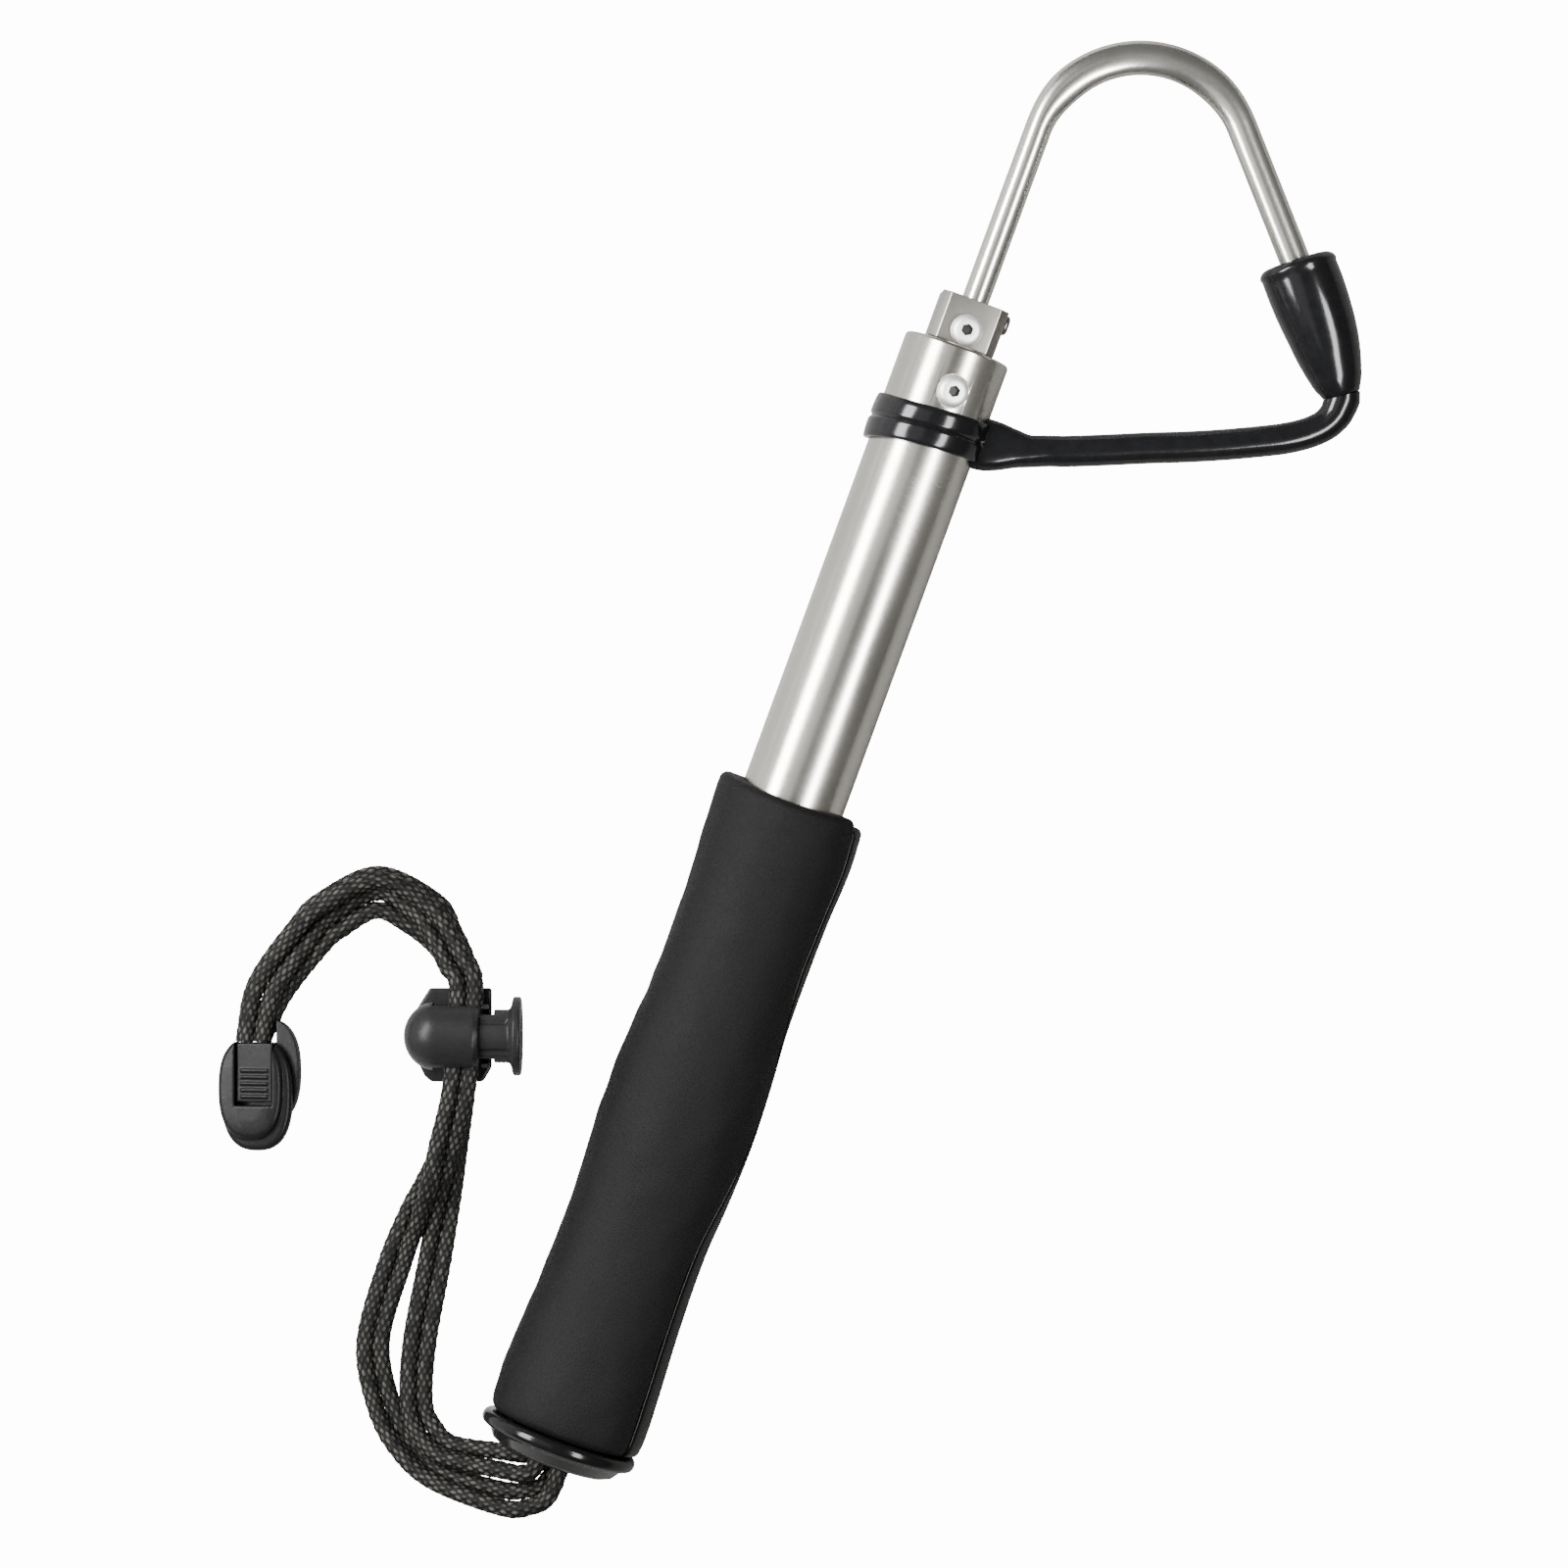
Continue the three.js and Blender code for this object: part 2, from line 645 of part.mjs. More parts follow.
// The ring has two ribs and stands a little crooked on its straight bore.
function guardRing() {
  const half = ringLength / 2;
  const bore = collarRadius + ringFit;
  const valley = ringRadius - ringGroove;
  const path = outlineOf([[tubeRadius - overrun, -half], [valley, -half]]);
  path.quadraticCurveTo(ringRadius + ringGroove, -half / 2, valley, 0);
  path.quadraticCurveTo(ringRadius + ringGroove, half / 2, valley, half);
  path.lineTo(tubeRadius - overrun, half);
  path.closePath();
  const ring = turned(path, roundSides);
  ring.rotateZ(THREE.MathUtils.degToRad(ringTilt)).translate(0, ringMiddle, 0);
  const bossHalf = armRadius + bossSide;
  const bossReach = pivotOut - armRadius - bossInset;
  const boss = block(
    [tubeRadius, ringFoot + ringLap, -bossHalf],
    [bossReach, pivotHeight + armRadius, bossHalf],
  );
  const hole = rod(bore, ringFoot - ringLength, ringFoot + ringLength * 2, roundSides);
  const seat = screwBore(armRadius + pivotSeat, -bossHalf - overrun, bossHalf + overrun);
  seat.translate(pivotOut, pivotHeight, 0);
  return surface(solid(ring).add(solid(boss)).subtract(solid(hole)).subtract(solid(seat)));
}

const coneLeanAngle = THREE.MathUtils.degToRad(coneLean);
const coneAlong = new THREE.Vector3(-Math.sin(coneLeanAngle), Math.cos(coneLeanAngle), 0);
const coneAcross = new THREE.Vector3(coneAlong.y, -coneAlong.x, 0);
const coneFootGap = coneLength - coneSocketDepth + pointGap;
const coneFoot = hookPoint.clone();
coneFoot.addScaledVector(coneAlong, -coneFootGap).addScaledVector(coneAcross, -pointShift);

// The arm bends in one plane, from a round end in the ring's seat to the foot of the cone.
function guardArm() {
  const over = new THREE.Vector3(0, 0, 1);
  const footGap = coneFoot.clone().addScaledVector(coneAlong, -seatGap);
  const places = armShares.map(([out, rise]) => new THREE.Vector3(
    THREE.MathUtils.lerp(pivotOut, footGap.x, out),
    THREE.MathUtils.lerp(pivotHeight, footGap.y, rise),
    0,
  ));
  const line = new THREE.CatmullRomCurve3(places);
  const rings = [];
  const start = line.getTangent(0);
  const startAcross = new THREE.Vector3().crossVectors(start, over);
  for (const share of armEndShares) {
    const angle = Math.PI * share;
    const centre = places[0].clone().addScaledVector(start, -armRadius * Math.sin(angle));
    const radius = armRadius * Math.cos(angle);
    rings.push(ringAt(centre, startAcross, over, radius, radius, wireSides));
  }
  for (let i = 0; i <= armSteps; i += 1) {
    const along = i === armSteps ? coneAlong : line.getTangentAt(i / armSteps);
    const across = new THREE.Vector3().crossVectors(along, over);
    rings.push(ringAt(line.getPointAt(i / armSteps), across, over, armRadius, armRadius, wireSides));
  }
  return loft(rings);
}

// The cone's left side is straight and its right side swells. Its socket follows at one wall's distance.
function guardCone() {
  const over = new THREE.Vector3(0, 0, 1);
  const ring = (share, wall) => {
    const left = THREE.MathUtils.lerp(coneFootRadius, coneMouthRadius, share);
    const right = left + coneBulge * Math.sin(Math.PI * share ** coneBulgeSkew);
    const middle = coneFoot.clone().addScaledVector(coneAlong, coneLength * share);
    middle.addScaledVector(coneAcross, (right - left) / 2);
    const radius = (left + right) / 2 - wall;
    return ringAt(middle, coneAcross, over, radius, radius, coneSides);
  };
  const rings = [ring(0, coneFootEdge)];
  for (let i = 0; i <= coneSteps; i += 1) {
    rings.push(ring(THREE.MathUtils.lerp(coneFootEdge / coneLength, 1, i / coneSteps), 0));
  }
  rings.push(ring(1, coneWall));
  const socketEnd = 1 - coneSocketDepth / coneLength;
  for (let i = 1; i <= coneSteps / 2; i += 1) {
    rings.push(ring(THREE.MathUtils.lerp(1, socketEnd, i * 2 / coneSteps), coneWall));
  }
  return loft(rings);
}

// Turns a piece that was drawn along Y so that it lies along the lock's X.
function alongLock(geometry) {
  return geometry.rotateZ(-Math.PI / 2);
}

const lockFloor = -lockHeight;
const lockBoreFoot = lockCordLeft - plungerTravel;
const plungerHoleEnd = lockCordRight + plungerTravel;
const plungerEnd = lockCordLeft - stemEndWall;
const stemShoulder = lockCollarEnd + plungerTravel + seatGap;

function lockBody() {
  const path = outlineOf([[0, barrelDomeEnd]]);
  path.absellipse(0, barrelShoulder, barrelHalfHeight, barrelShoulder - barrelDomeEnd, -Math.PI / 2, 0);
  path.lineTo(barrelHalfHeight, barrelEnd - barrelEndRound);
  path.lineTo(barrelHalfHeight - lockCollarInset, barrelEnd);
  path.lineTo(barrelHalfHeight - lockCollarInset, lockCollarEnd);
  path.lineTo(0, lockCollarEnd);
  const barrel = alongLock(turned(path, lockSides, curveSteps));
  barrel.scale(1, barrelHalfWidth / barrelHalfHeight, 1);
  const width = earsRight - earsLeft;
  const earShares = [[0.28, 1], [0, 0.17], [0, 0], [0.22, -0.87], [0.3, -1], [0.9, -1], [1, -0.7], [1, 1]];
  const shape = new THREE.Shape(earShares.map(([across, along]) => (
    new THREE.Vector2(earsLeft + width * across, earsHalf * along))));
  const ears = closed(new THREE.ExtrudeGeometry(shape, { depth: earsThickness, bevelEnabled: false }));
  ears.translate(0, 0, lockFloor + earsFoot);
  const bore = alongLock(rod(boreHalfHeight, plungerEnd - plungerTravel - seatGap, earsRight, lockSides));
  bore.scale(1, boreHalfWidth / boreHalfHeight, 1);
  const springBore = alongLock(rod(springBoreRadius, springBoreEnd, 0, lockSides));
  const cordHole = block(
    [lockBoreFoot, -earsHalf - overrun, lockCordFoot],
    [lockCordRight, earsHalf + overrun, lockCordTop],
  );
  return surface(solid(barrel).add(solid(ears)).subtract(solid(bore)).subtract(solid(springBore))
    .subtract(solid(cordHole)));
}

function lockPlunger() {
  const flangeFace = stemShoulder + lockFlangeCone;
  const plate = block(
    [plungerEnd, -stemPlateHalfWidth, -stemPlateHalfHeight],
    [flangeFace, stemPlateHalfWidth, stemPlateHalfHeight],
  );
  const rib = block(
    [plungerEnd, -stemRibHalfWidth, -stemRibHalfHeight],
    [flangeFace, stemRibHalfWidth, stemRibHalfHeight],
  );
  const flange = alongLock(turned(outlineOf([
    [0, stemShoulder],
    [lockFlangeNeck, stemShoulder],
    [lockFlangeRadius, flangeFace],
    [lockFlangeRadius, flangeFace + lockFlangeThickness],
    [0, flangeFace + lockFlangeThickness],
  ]), lockSides));
  const hole = block(
    [lockCordLeft, -earsHalf, lockCordFoot],
    [plungerHoleEnd, earsHalf, lockCordTop],
  );
  return surface(solid(plate).add(solid(rib)).subtract(solid(hole)).add(solid(flange)));
}

// Curves that keep their given points at equal steps
class Route extends THREE.CatmullRomCurve3 {
  constructor(points) {
    super(points, false, "catmullrom");
  }

  getUtoTmapping(share) {
    return share;
  }
}

function polygon(radius, sides) {
  const corners = [];
  for (let i = 0; i < sides; i += 1) {
    const angle = 2 * Math.PI * i / sides;
    corners.push(new THREE.Vector2(radius * Math.cos(angle), radius * Math.sin(angle)));
  }
  return new THREE.Shape(corners);
}

function tubeAlong(points, radius, sides) {
  const extrudePath = new Route(points);
  const steps = points.length - 1;
  const section = polygon(radius, sides);
  return closed(new THREE.ExtrudeGeometry(section, { extrudePath, steps, bevelEnabled: false }));
}

function lockSpring() {
  const start = springBoreEnd + springWireRadius + seatGap;
  const steps = springCurls * springCurlSteps;
  const points = [];
  for (let i = 0; i <= steps; i += 1) {
    const angle = 2 * Math.PI * i / springCurlSteps;
    const along = start + springLength * i / steps;
    points.push(new THREE.Vector3(along, springRadius * Math.cos(angle), springRadius * Math.sin(angle)));
  }
  return tubeAlong(points, springWireRadius, springSides);
}

// A squarish oval: the points between two angles, measured from +X
function ovalPoints(halfWidth, halfLength, from, to) {
  const points = [];
  const power = 2 / clipSquareness;
  for (let i = 0; i <= clipOutlineSteps; i += 1) {
    const angle = THREE.MathUtils.lerp(from, to, i / clipOutlineSteps);
    const [across, along] = [Math.cos(angle), Math.sin(angle)];
    points.push(new THREE.Vector2(
      halfWidth * Math.sign(across) * Math.abs(across) ** power,
      halfLength * Math.sign(along) * Math.abs(along) ** power,
    ));
  }
  return points;
}

// A shell from its outline, with its outer face rounded
function clipShell(points, thickness, foot) {
  const shape = new THREE.Shape(points);
  const plate = closed(new THREE.ExtrudeGeometry(shape, {
    depth: thickness - clipRound,
    bevelThickness: clipRound,
    bevelSize: clipRound,
    bevelOffset: -clipRound,
    bevelSegments: bevelSteps,
  }));
  const reach = clipBackHalfLength * 2;
  const keep = block([-reach, -reach, 0], [reach, reach, thickness + overrun]);
  return surface(solid(plate).intersect(solid(keep))).translate(0, 0, foot);
}

function clipFront() {
  const oval = solid(clipShell(ovalPoints(clipHalfWidth, clipFrontHalfLength, 0, 2 * Math.PI).slice(1),
    clipFrontThickness, seatGap / 2));
  const window = block(
    [clipWindowLeft, clipWindowFoot, -overrun],
    [clipWindowRight, clipFrontHalfLength + overrun, clipFrontThickness + overrun * 2],
  );
  return surface(oval.subtract(solid(window)));
}

function clipBack() {
  const [across, along] = clipBackOffset;
  const oval = clipShell(ovalPoints(clipHalfWidth, clipBackHalfLength, 0, 2 * Math.PI).slice(1),
    clipBackThickness, 0);
  oval.rotateY(Math.PI).translate(across, along, -seatGap / 2);
  const notch = block(
    [-clipHalfWidth * 2, clipNotchFoot, -clipBackThickness - overrun],
    [clipNotchRight, clipBackHalfLength * 2, overrun],
  );
  return surface(solid(oval).subtract(solid(notch)));
}

function clipTongue() {
  const left = clipWindowLeft + seatGap;
  const right = clipWindowRight - seatGap;
  const foot = clipWindowFoot + seatGap;
  const top = tongueThickness;
  let tongue = solid(block([left, foot, seatGap / 2], [right, tongueTop, top]));
  const heel = block(
    [left - tongueHeelSide, tongueHeelFoot, -clipBackThickness - seatGap / 2],
    [right, tongueTop, -seatGap / 2],
  );
  const neck = block([left, tongueHeelFoot, -seatGap], [right, tongueTop, seatGap]);
  tongue = tongue.add(solid(heel)).add(solid(neck));
  const pitch = (tongueTop - foot) / (tongueRibs + 1);
  for (let i = 1; i <= tongueRibs; i += 1) {
    const rib = rod(tongueRib, left, right, screwSides).rotateZ(-Math.PI / 2);
    rib.translate(0, foot + pitch * i, top);
    tongue = tongue.add(solid(rib));
  }
  return surface(tongue);
}

function turnedGroup(parent, { x = 0, y = 0, z = 0 }) {
  const group = new THREE.Group();
  group.rotation.set(...[x, y, z].map(THREE.MathUtils.degToRad));
  parent.add(group);
  return group;
}

function part(parent, name, geometry, finish) {
  const mesh = new THREE.Mesh(geometry, new THREE.MeshStandardMaterial(finish));
  mesh.name = name;
  parent.add(mesh);
  return mesh;
}

const gaff = new THREE.Group();
const drawn = new THREE.Group();
gaff.add(drawn);

// Tube sections and their bushes
const { brushedSteel, polishedSteel, screwSteel, blackFoam, blackGloss, blackMoulded } = finishes;
const { blackBraid, whiteNylon } = finishes;
const bushTop = tubeTop - seatGap;
part(drawn, "outer_tube", pipe(outerBore, tubeRadius, tubeFoot, tubeTop), brushedSteel);
part(drawn, "middle_tube", pipe(middleBore, middleRadius, middleFoot, middleTop), brushedSteel);
part(drawn, "inner_tube", innerTube(), brushedSteel);
const outsideBush = (inside, outside, foot) => (
  pipe(inside + bushFit, outside - bushFit, foot, foot + bushLength));
part(drawn, "outer_top_bush", outsideBush(middleRadius, outerBore, bushTop - bushLength), whiteNylon);
part(drawn, "middle_bottom_bush", outsideBush(middleRadius, outerBore, middleFoot), whiteNylon);
part(drawn, "middle_top_bush", outsideBush(innerRadius, middleBore, middleTop - bushLength), whiteNylon);
part(drawn, "inner_bottom_bush", outsideBush(innerRadius, middleBore, innerFoot), whiteNylon);

// Butt and grip
part(drawn, "end_cap", endCap(), blackGloss);
part(drawn, "grip_foam", gripFoam(), blackFoam);
part(drawn, "grip_spine", gripSpine(), blackGloss);

// Head
part(drawn, "head_collar", headCollar(), brushedSteel);
part(drawn, "collar_screw", collarScrew(), screwSteel);
part(drawn, "hook_wire", hookWire(), polishedSteel);
part(drawn, "guard_ring", guardRing(), blackGloss);
const blockGroup = turnedGroup(drawn, { y: blockTurn });
part(blockGroup, "hook_block", hookBlock(), brushedSteel);
part(blockGroup, "block_front_screw", blockFrontScrew(), screwSteel);
part(blockGroup, "block_side_screw", blockSideScrew(), screwSteel);

// Guard
part(drawn, "guard_arm", guardArm(), blackGloss);
part(drawn, "guard_cone", guardCone(), blackGloss);

// The box of what has been added so far, without the wrist cord and what is on it
const box = new THREE.Box3().setFromObject(drawn);
const middle = box.getCenter(new THREE.Vector3());

// Wrist cord, with its knot, lock and clip
part(drawn, "cord_knot", cordKnot(), blackBraid);
for (const [name, route] of Object.entries(strandRoutes)) {
  const points = route.map(([x, y, height]) => new THREE.Vector3(x, y, height - flangeRadius));
  part(drawn, name, tubeAlong(points, strandRadius, strandSides), blackBraid);
}
const lock = turnedGroup(drawn, { z: lockTurn });
lock.position.set(...lockPlace, lockHeight - flangeRadius);
part(lock, "cord_lock_body", lockBody(), blackMoulded);
part(lock, "cord_lock_plunger", lockPlunger(), blackMoulded);
part(lock, "cord_lock_spring", lockSpring(), screwSteel);
const clip = turnedGroup(drawn, { z: clipTurn });
clip.position.set(...clipPlace, clipHeight - flangeRadius);
const clipPieces = turnedGroup(clip, { y: clipTilt });
part(clipPieces, "clip_front_shell", clipFront(), blackMoulded);
part(clipPieces, "clip_back_shell", clipBack(), blackMoulded);
part(clipPieces, "clip_tongue", clipTongue(), blackMoulded);

// The origin is the middle of the foot of the gaff's box, on the surface that it lies on.
drawn.position.set(-middle.x, -middle.y, -box.min.z);

export default gaff;
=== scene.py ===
"""A fishing gaff on a pale floor: a hook on a telescopic tube, a foam grip, a wrist cord and a guard."""
import math
import random
from contextlib import contextmanager

import bmesh
import bpy
from mathutils import Matrix, Vector, noise


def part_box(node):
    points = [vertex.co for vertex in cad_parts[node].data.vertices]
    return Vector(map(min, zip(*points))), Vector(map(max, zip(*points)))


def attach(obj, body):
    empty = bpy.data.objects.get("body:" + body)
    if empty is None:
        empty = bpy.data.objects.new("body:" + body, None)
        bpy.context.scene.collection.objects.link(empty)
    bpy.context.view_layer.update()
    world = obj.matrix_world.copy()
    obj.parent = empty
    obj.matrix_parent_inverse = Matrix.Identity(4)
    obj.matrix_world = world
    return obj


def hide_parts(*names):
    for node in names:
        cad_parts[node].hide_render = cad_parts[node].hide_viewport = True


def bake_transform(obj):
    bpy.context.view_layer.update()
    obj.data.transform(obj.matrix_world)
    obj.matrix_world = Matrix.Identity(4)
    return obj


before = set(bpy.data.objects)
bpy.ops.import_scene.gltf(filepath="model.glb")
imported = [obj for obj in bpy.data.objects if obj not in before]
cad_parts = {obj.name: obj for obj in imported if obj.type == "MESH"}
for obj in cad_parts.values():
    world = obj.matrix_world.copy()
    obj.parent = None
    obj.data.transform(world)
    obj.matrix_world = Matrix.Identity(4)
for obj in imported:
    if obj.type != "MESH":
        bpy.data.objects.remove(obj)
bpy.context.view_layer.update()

# The gaff is modelled in millimetres about its own axis: Y along the tube towards the hook, X towards
# the point, Z up, and Y = 0 at the lower edge of the butt flange. DRAWN takes it to the frame, in metres.
MM = 0.001
TUBE_FOOT = 3.8
tube_low, tube_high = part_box("outer_tube")
tube_axis = (tube_low + tube_high) / 2
DRAWN = Matrix.Translation((tube_axis.x, tube_low.y - TUBE_FOOT * MM, tube_axis.z)) @ Matrix.Scale(MM, 4)
FLOOR = -tube_axis.z / MM
UPRIGHT = Matrix.Identity(4)


def span(node):
    """The lowest and highest corner of a node of the frame, in the gaff's own millimetres."""
    low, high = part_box(node)
    return DRAWN.inverted() @ low, DRAWN.inverted() @ high


def placed(name, data):
    """A new object of the scene with this data"""
    made = bpy.data.objects.new(name, data)
    bpy.context.scene.collection.objects.link(made)
    return made


# Clearances, counts and angles that the pieces share
SEAT_GAP = 0.3
OVERRUN = 1
POLE = 0.0002
MERGE = 0.001
LEAST_TURN = 1e-9
RING_SIDES = 160
TURNED_SIDES = 128
SMALL_SIDES = 64
SMOOTH_DEGREES = 32
BEVEL_DEGREES = 30
SKIN_DEGREES = 60


# Camera, as the photograph was taken: straight above, turned about the line of sight
VIEW_CENTRE = (-3.2, 165.4)
VIEW_HEIGHT = 1273
VIEW_TURN = 20.1
VIEW_WIDTH = 370.4
SENSOR_WIDTH = 36


def add_camera():
    """The camera of the photograph"""
    data = bpy.data.cameras.new("view_from_above")
    data.sensor_width = SENSOR_WIDTH
    data.lens = SENSOR_WIDTH * VIEW_HEIGHT / VIEW_WIDTH
    camera = placed("view_from_above", data)
    camera.location = DRAWN @ Vector((*VIEW_CENTRE, VIEW_HEIGHT))
    camera.rotation_euler.z = math.radians(VIEW_TURN)
    bpy.context.scene.camera = camera


# Modelling helpers
def pick(*pieces):
    """Selects these objects alone, and makes the first one active."""
    bpy.ops.object.select_all(action="DESELECT")
    for piece in pieces:
        piece.select_set(True)
    bpy.context.view_layer.objects.active = pieces[0]


@contextmanager
def editing(piece):
    """Edit mode with all of the piece selected"""
    pick(piece)
    bpy.ops.object.mode_set(mode="EDIT")
    bpy.ops.mesh.select_all(action="SELECT")
    yield
    bpy.ops.object.mode_set(mode="OBJECT")


def named(name):
    """Names the object that an operator has just added, and puts its place into its mesh."""
    piece = bpy.context.object
    piece.name = piece.data.name = name
    bpy.ops.object.transform_apply()
    return piece


def face_outwards():
    """Turns all faces outwards, in edit mode."""
    bpy.ops.mesh.select_all(action="SELECT")
    bpy.ops.mesh.normals_make_consistent(inside=False)


def turned(name, stations, sides=TURNED_SIDES, place=UPRIGHT):
    """A piece turned about Y: a ring drawn from station to station, each a radius and a height."""
    (radius, height), *rest = [(max(wide, POLE), high) for wide, high in stations]
    bpy.ops.object.select_all(action="DESELECT")
    bpy.ops.mesh.primitive_circle_add(
        vertices=sides, radius=radius, location=(0, height, 0), rotation=(math.pi / 2, 0, 0))
    piece = named(name)
    with editing(piece):
        for wide, high in rest:
            bpy.ops.mesh.extrude_region_move(TRANSFORM_OT_translate={"value": (0, high - height, 0)})
            ratio = wide / radius
            bpy.ops.transform.resize(value=(ratio, 1, ratio), center_override=(0, high, 0))
            radius, height = wide, high
        bpy.ops.mesh.select_all(action="SELECT")
        bpy.ops.mesh.remove_doubles(threshold=MERGE)
        face_outwards()
    return moved(piece, place)


def pin(name, radius, foot, top, place=UPRIGHT, sides=SMALL_SIDES):
    """A plain round pin along Y, mostly to cut a hole with"""
    return turned(name, [(0, foot), (radius, foot), (radius, top), (0, top)], sides, place)


def spun(degrees, axis):
    """A turn about an axis"""
    return Matrix.Rotation(math.radians(degrees), 4, axis)


def shift(x, y, z):
    """A shift along the three axes"""
    return Matrix.Translation((x, y, z))


def moved(piece, place):
    """Moves a piece, with its place in its mesh."""
    pick(piece)
    piece.matrix_world = place
    bpy.ops.object.transform_apply()
    return piece


def arc(centre, size, start, end, steps):
    """The stations of a rounded edge: points on a circle between two angles, in degrees from outwards"""
    turns = [math.radians(start + (end - start) * i / steps) for i in range(steps + 1)]
    return [(centre[0] + size * math.cos(turn), centre[1] + size * math.sin(turn)) for turn in turns]


def between(before, here, there, after, t):
    """The place at a share t of the way from here to there, on the smooth line through all four"""
    return tuple(
        0.5 * (2 * b + (c - a) * t + (2 * a - 5 * b + 4 * c - d) * t * t + (3 * b - a - 3 * c + d) * t ** 3)
        for a, b, c, d in zip(before, here, there, after))


def spline(stations, steps):
    """Stations on a smooth line through the given ones, each a tuple of numbers"""
    first = [2 * a - b for a, b in zip(stations[0], stations[1])]
    last = [2 * a - b for a, b in zip(stations[-1], stations[-2])]
    line = [first, *stations, last]
    made = []
    for before, here, there, after in zip(line, line[1:], line[2:], line[3:]):
        made += [between(before, here, there, after, i / steps) for i in range(steps)]
    made.append(tuple(stations[-1]))
    return made


def followed(table, height):
    """The row of a smooth table at a height, which is the first number of each of its rows"""
    for before, here, there, after in zip(
            [table[0], *table], table, table[1:], [*table[2:], table[-1]]):
        if height <= there[0]:
            t = max(0, (height - here[0]) / (there[0] - here[0]))
            return between(before[1:], here[1:], there[1:], after[1:], t)
    return table[-1][1:]


def eased(share):
    """A share from 0 to 1 that starts and ends gently"""
    return share * share * (3 - 2 * share)


def swept(name, stations, sides=SMALL_SIDES, last_heading=None):
    """A rod in the plane of the hook: a ring drawn along stations, each a place, a width and a thickness."""
    places = [Vector((x, y, 0)) for x, y, *_ in stations]
    headings = []
    for i in range(len(places)):
        ahead = places[min(i + 1, len(places) - 1)] - places[max(i - 1, 0)]
        headings.append(math.atan2(-ahead.x, ahead.y))
    if last_heading is not None:
        headings[-1] = last_heading
    bpy.ops.object.select_all(action="DESELECT")
    bpy.ops.mesh.primitive_circle_add(
        vertices=sides, radius=0.5, location=places[0], rotation=(math.pi / 2, 0, headings[0]))
    piece = named(name)
    x, y, width, thickness = stations[0]
    with editing(piece):
        bpy.ops.transform.resize(value=(width, width, thickness), center_override=(x, y, 0))
        bpy.ops.mesh.edge_face_add()
        for i in range(1, len(stations)):
            _, _, wide, thick = stations[i]
            bpy.ops.mesh.extrude_region_move(
                TRANSFORM_OT_translate={"value": places[i] - places[i - 1]})
            turn = headings[i] - headings[i - 1]
            if abs(turn) > LEAST_TURN:
                bpy.ops.transform.rotate(value=-turn, orient_axis="Z", center_override=places[i])
            bpy.ops.transform.resize(
                value=(wide / width, wide / width, thick / thickness), center_override=places[i])
            width, thickness = wide, thick
        face_outwards()
    return piece


def box_of(name, low, high):
    """A box between two corners, as a blank to cut with or to shape"""
    middle = [(a + b) / 2 for a, b in zip(low, high)]
    bpy.ops.object.select_all(action="DESELECT")
    bpy.ops.mesh.primitive_cube_add(
        size=1, location=middle, scale=[b - a for a, b in zip(low, high)])
    return named(name)


def changed(piece, kind, **settings):
    """Gives a piece a modifier with these settings, and applies it."""
    modifier = piece.modifiers.new(kind.lower(), kind)
    for setting, value in settings.items():
        setattr(modifier, setting, value)
    pick(piece)
    bpy.ops.object.modifier_apply(modifier=modifier.name)
    return piece


def combine(piece, tool, operation):
    """Cuts a piece with a tool, or joins the two; the tool is used up."""
    changed(piece, "BOOLEAN", operation=operation, object=tool, solver="EXACT")
    bpy.data.objects.remove(tool)
    return piece


def cut(piece, tool):
    return combine(piece, tool, "DIFFERENCE")


def join(piece, tool):
    return combine(piece, tool, "UNION")


def bevelled(piece, width, segments=3):
    """Rounds the sharp edges of a piece."""
    return changed(piece, "BEVEL", width=width, segments=segments, limit_method="ANGLE",
                   angle_limit=math.radians(BEVEL_DEGREES))


def moulded(piece, grain, rounds):
    """Melts a piece into one skin with soft edges, as a moulding has."""
    changed(piece, "REMESH", mode="VOXEL", voxel_size=grain)
    return changed(piece, "SMOOTH", factor=0.5, iterations=rounds)


def smooth(piece, degrees=SMOOTH_DEGREES):
    """Shades a piece smooth, but for its edges."""
    pick(piece)
    bpy.ops.object.shade_smooth_by_angle(angle=math.radians(degrees))
    return piece


def mesh_piece(name, points, faces):
    """A piece from points and faces, in the gaff's millimetres"""
    mesh = bpy.data.meshes.new(name)
    mesh.from_pydata(points, [], faces)
    piece = placed(name, mesh)
    with editing(piece):
        face_outwards()
    return piece


def rings_joined(count, sides):
    """The faces of a row of rings of points, closed at both ends"""
    faces = []
    for n in range(count - 1):
        for k in range(sides):
            a, b = n * sides + k, n * sides + (k + 1) % sides
            faces.append((a, b, b + sides, a + sides))
    last = (count - 1) * sides
    return faces + [tuple(reversed(range(sides))), tuple(range(last, last + sides))]


def dress(piece, material, body, slot, *nodes):
    """Brings a finished piece into the frame, with its material and body, and hides the nodes it stands for;
    its slot is not used.
    """
    moved(piece, DRAWN)
    piece.data.materials.clear()
    piece.data.materials.append(material)
    if body:
        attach(piece, body)
    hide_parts(*nodes)
    return piece


# Finishes
def finish(name, colour, roughness, metallic=0.0, specular=0.5):
    """A material with its constant values on the shader, and its node tree to add the detail to"""
    made = bpy.data.materials.new(name)
    made.use_nodes = True
    made.diffuse_color = (*colour, 1)
    shader = made.node_tree.nodes["Principled BSDF"]
    values = {
        "Base Color": (*colour, 1),
        "Roughness": roughness,
        "Metallic": metallic,
        "Specular IOR Level": specular,
    }
    for socket, value in values.items():
        shader.inputs[socket].default_value = value
    return made, made.node_tree, shader


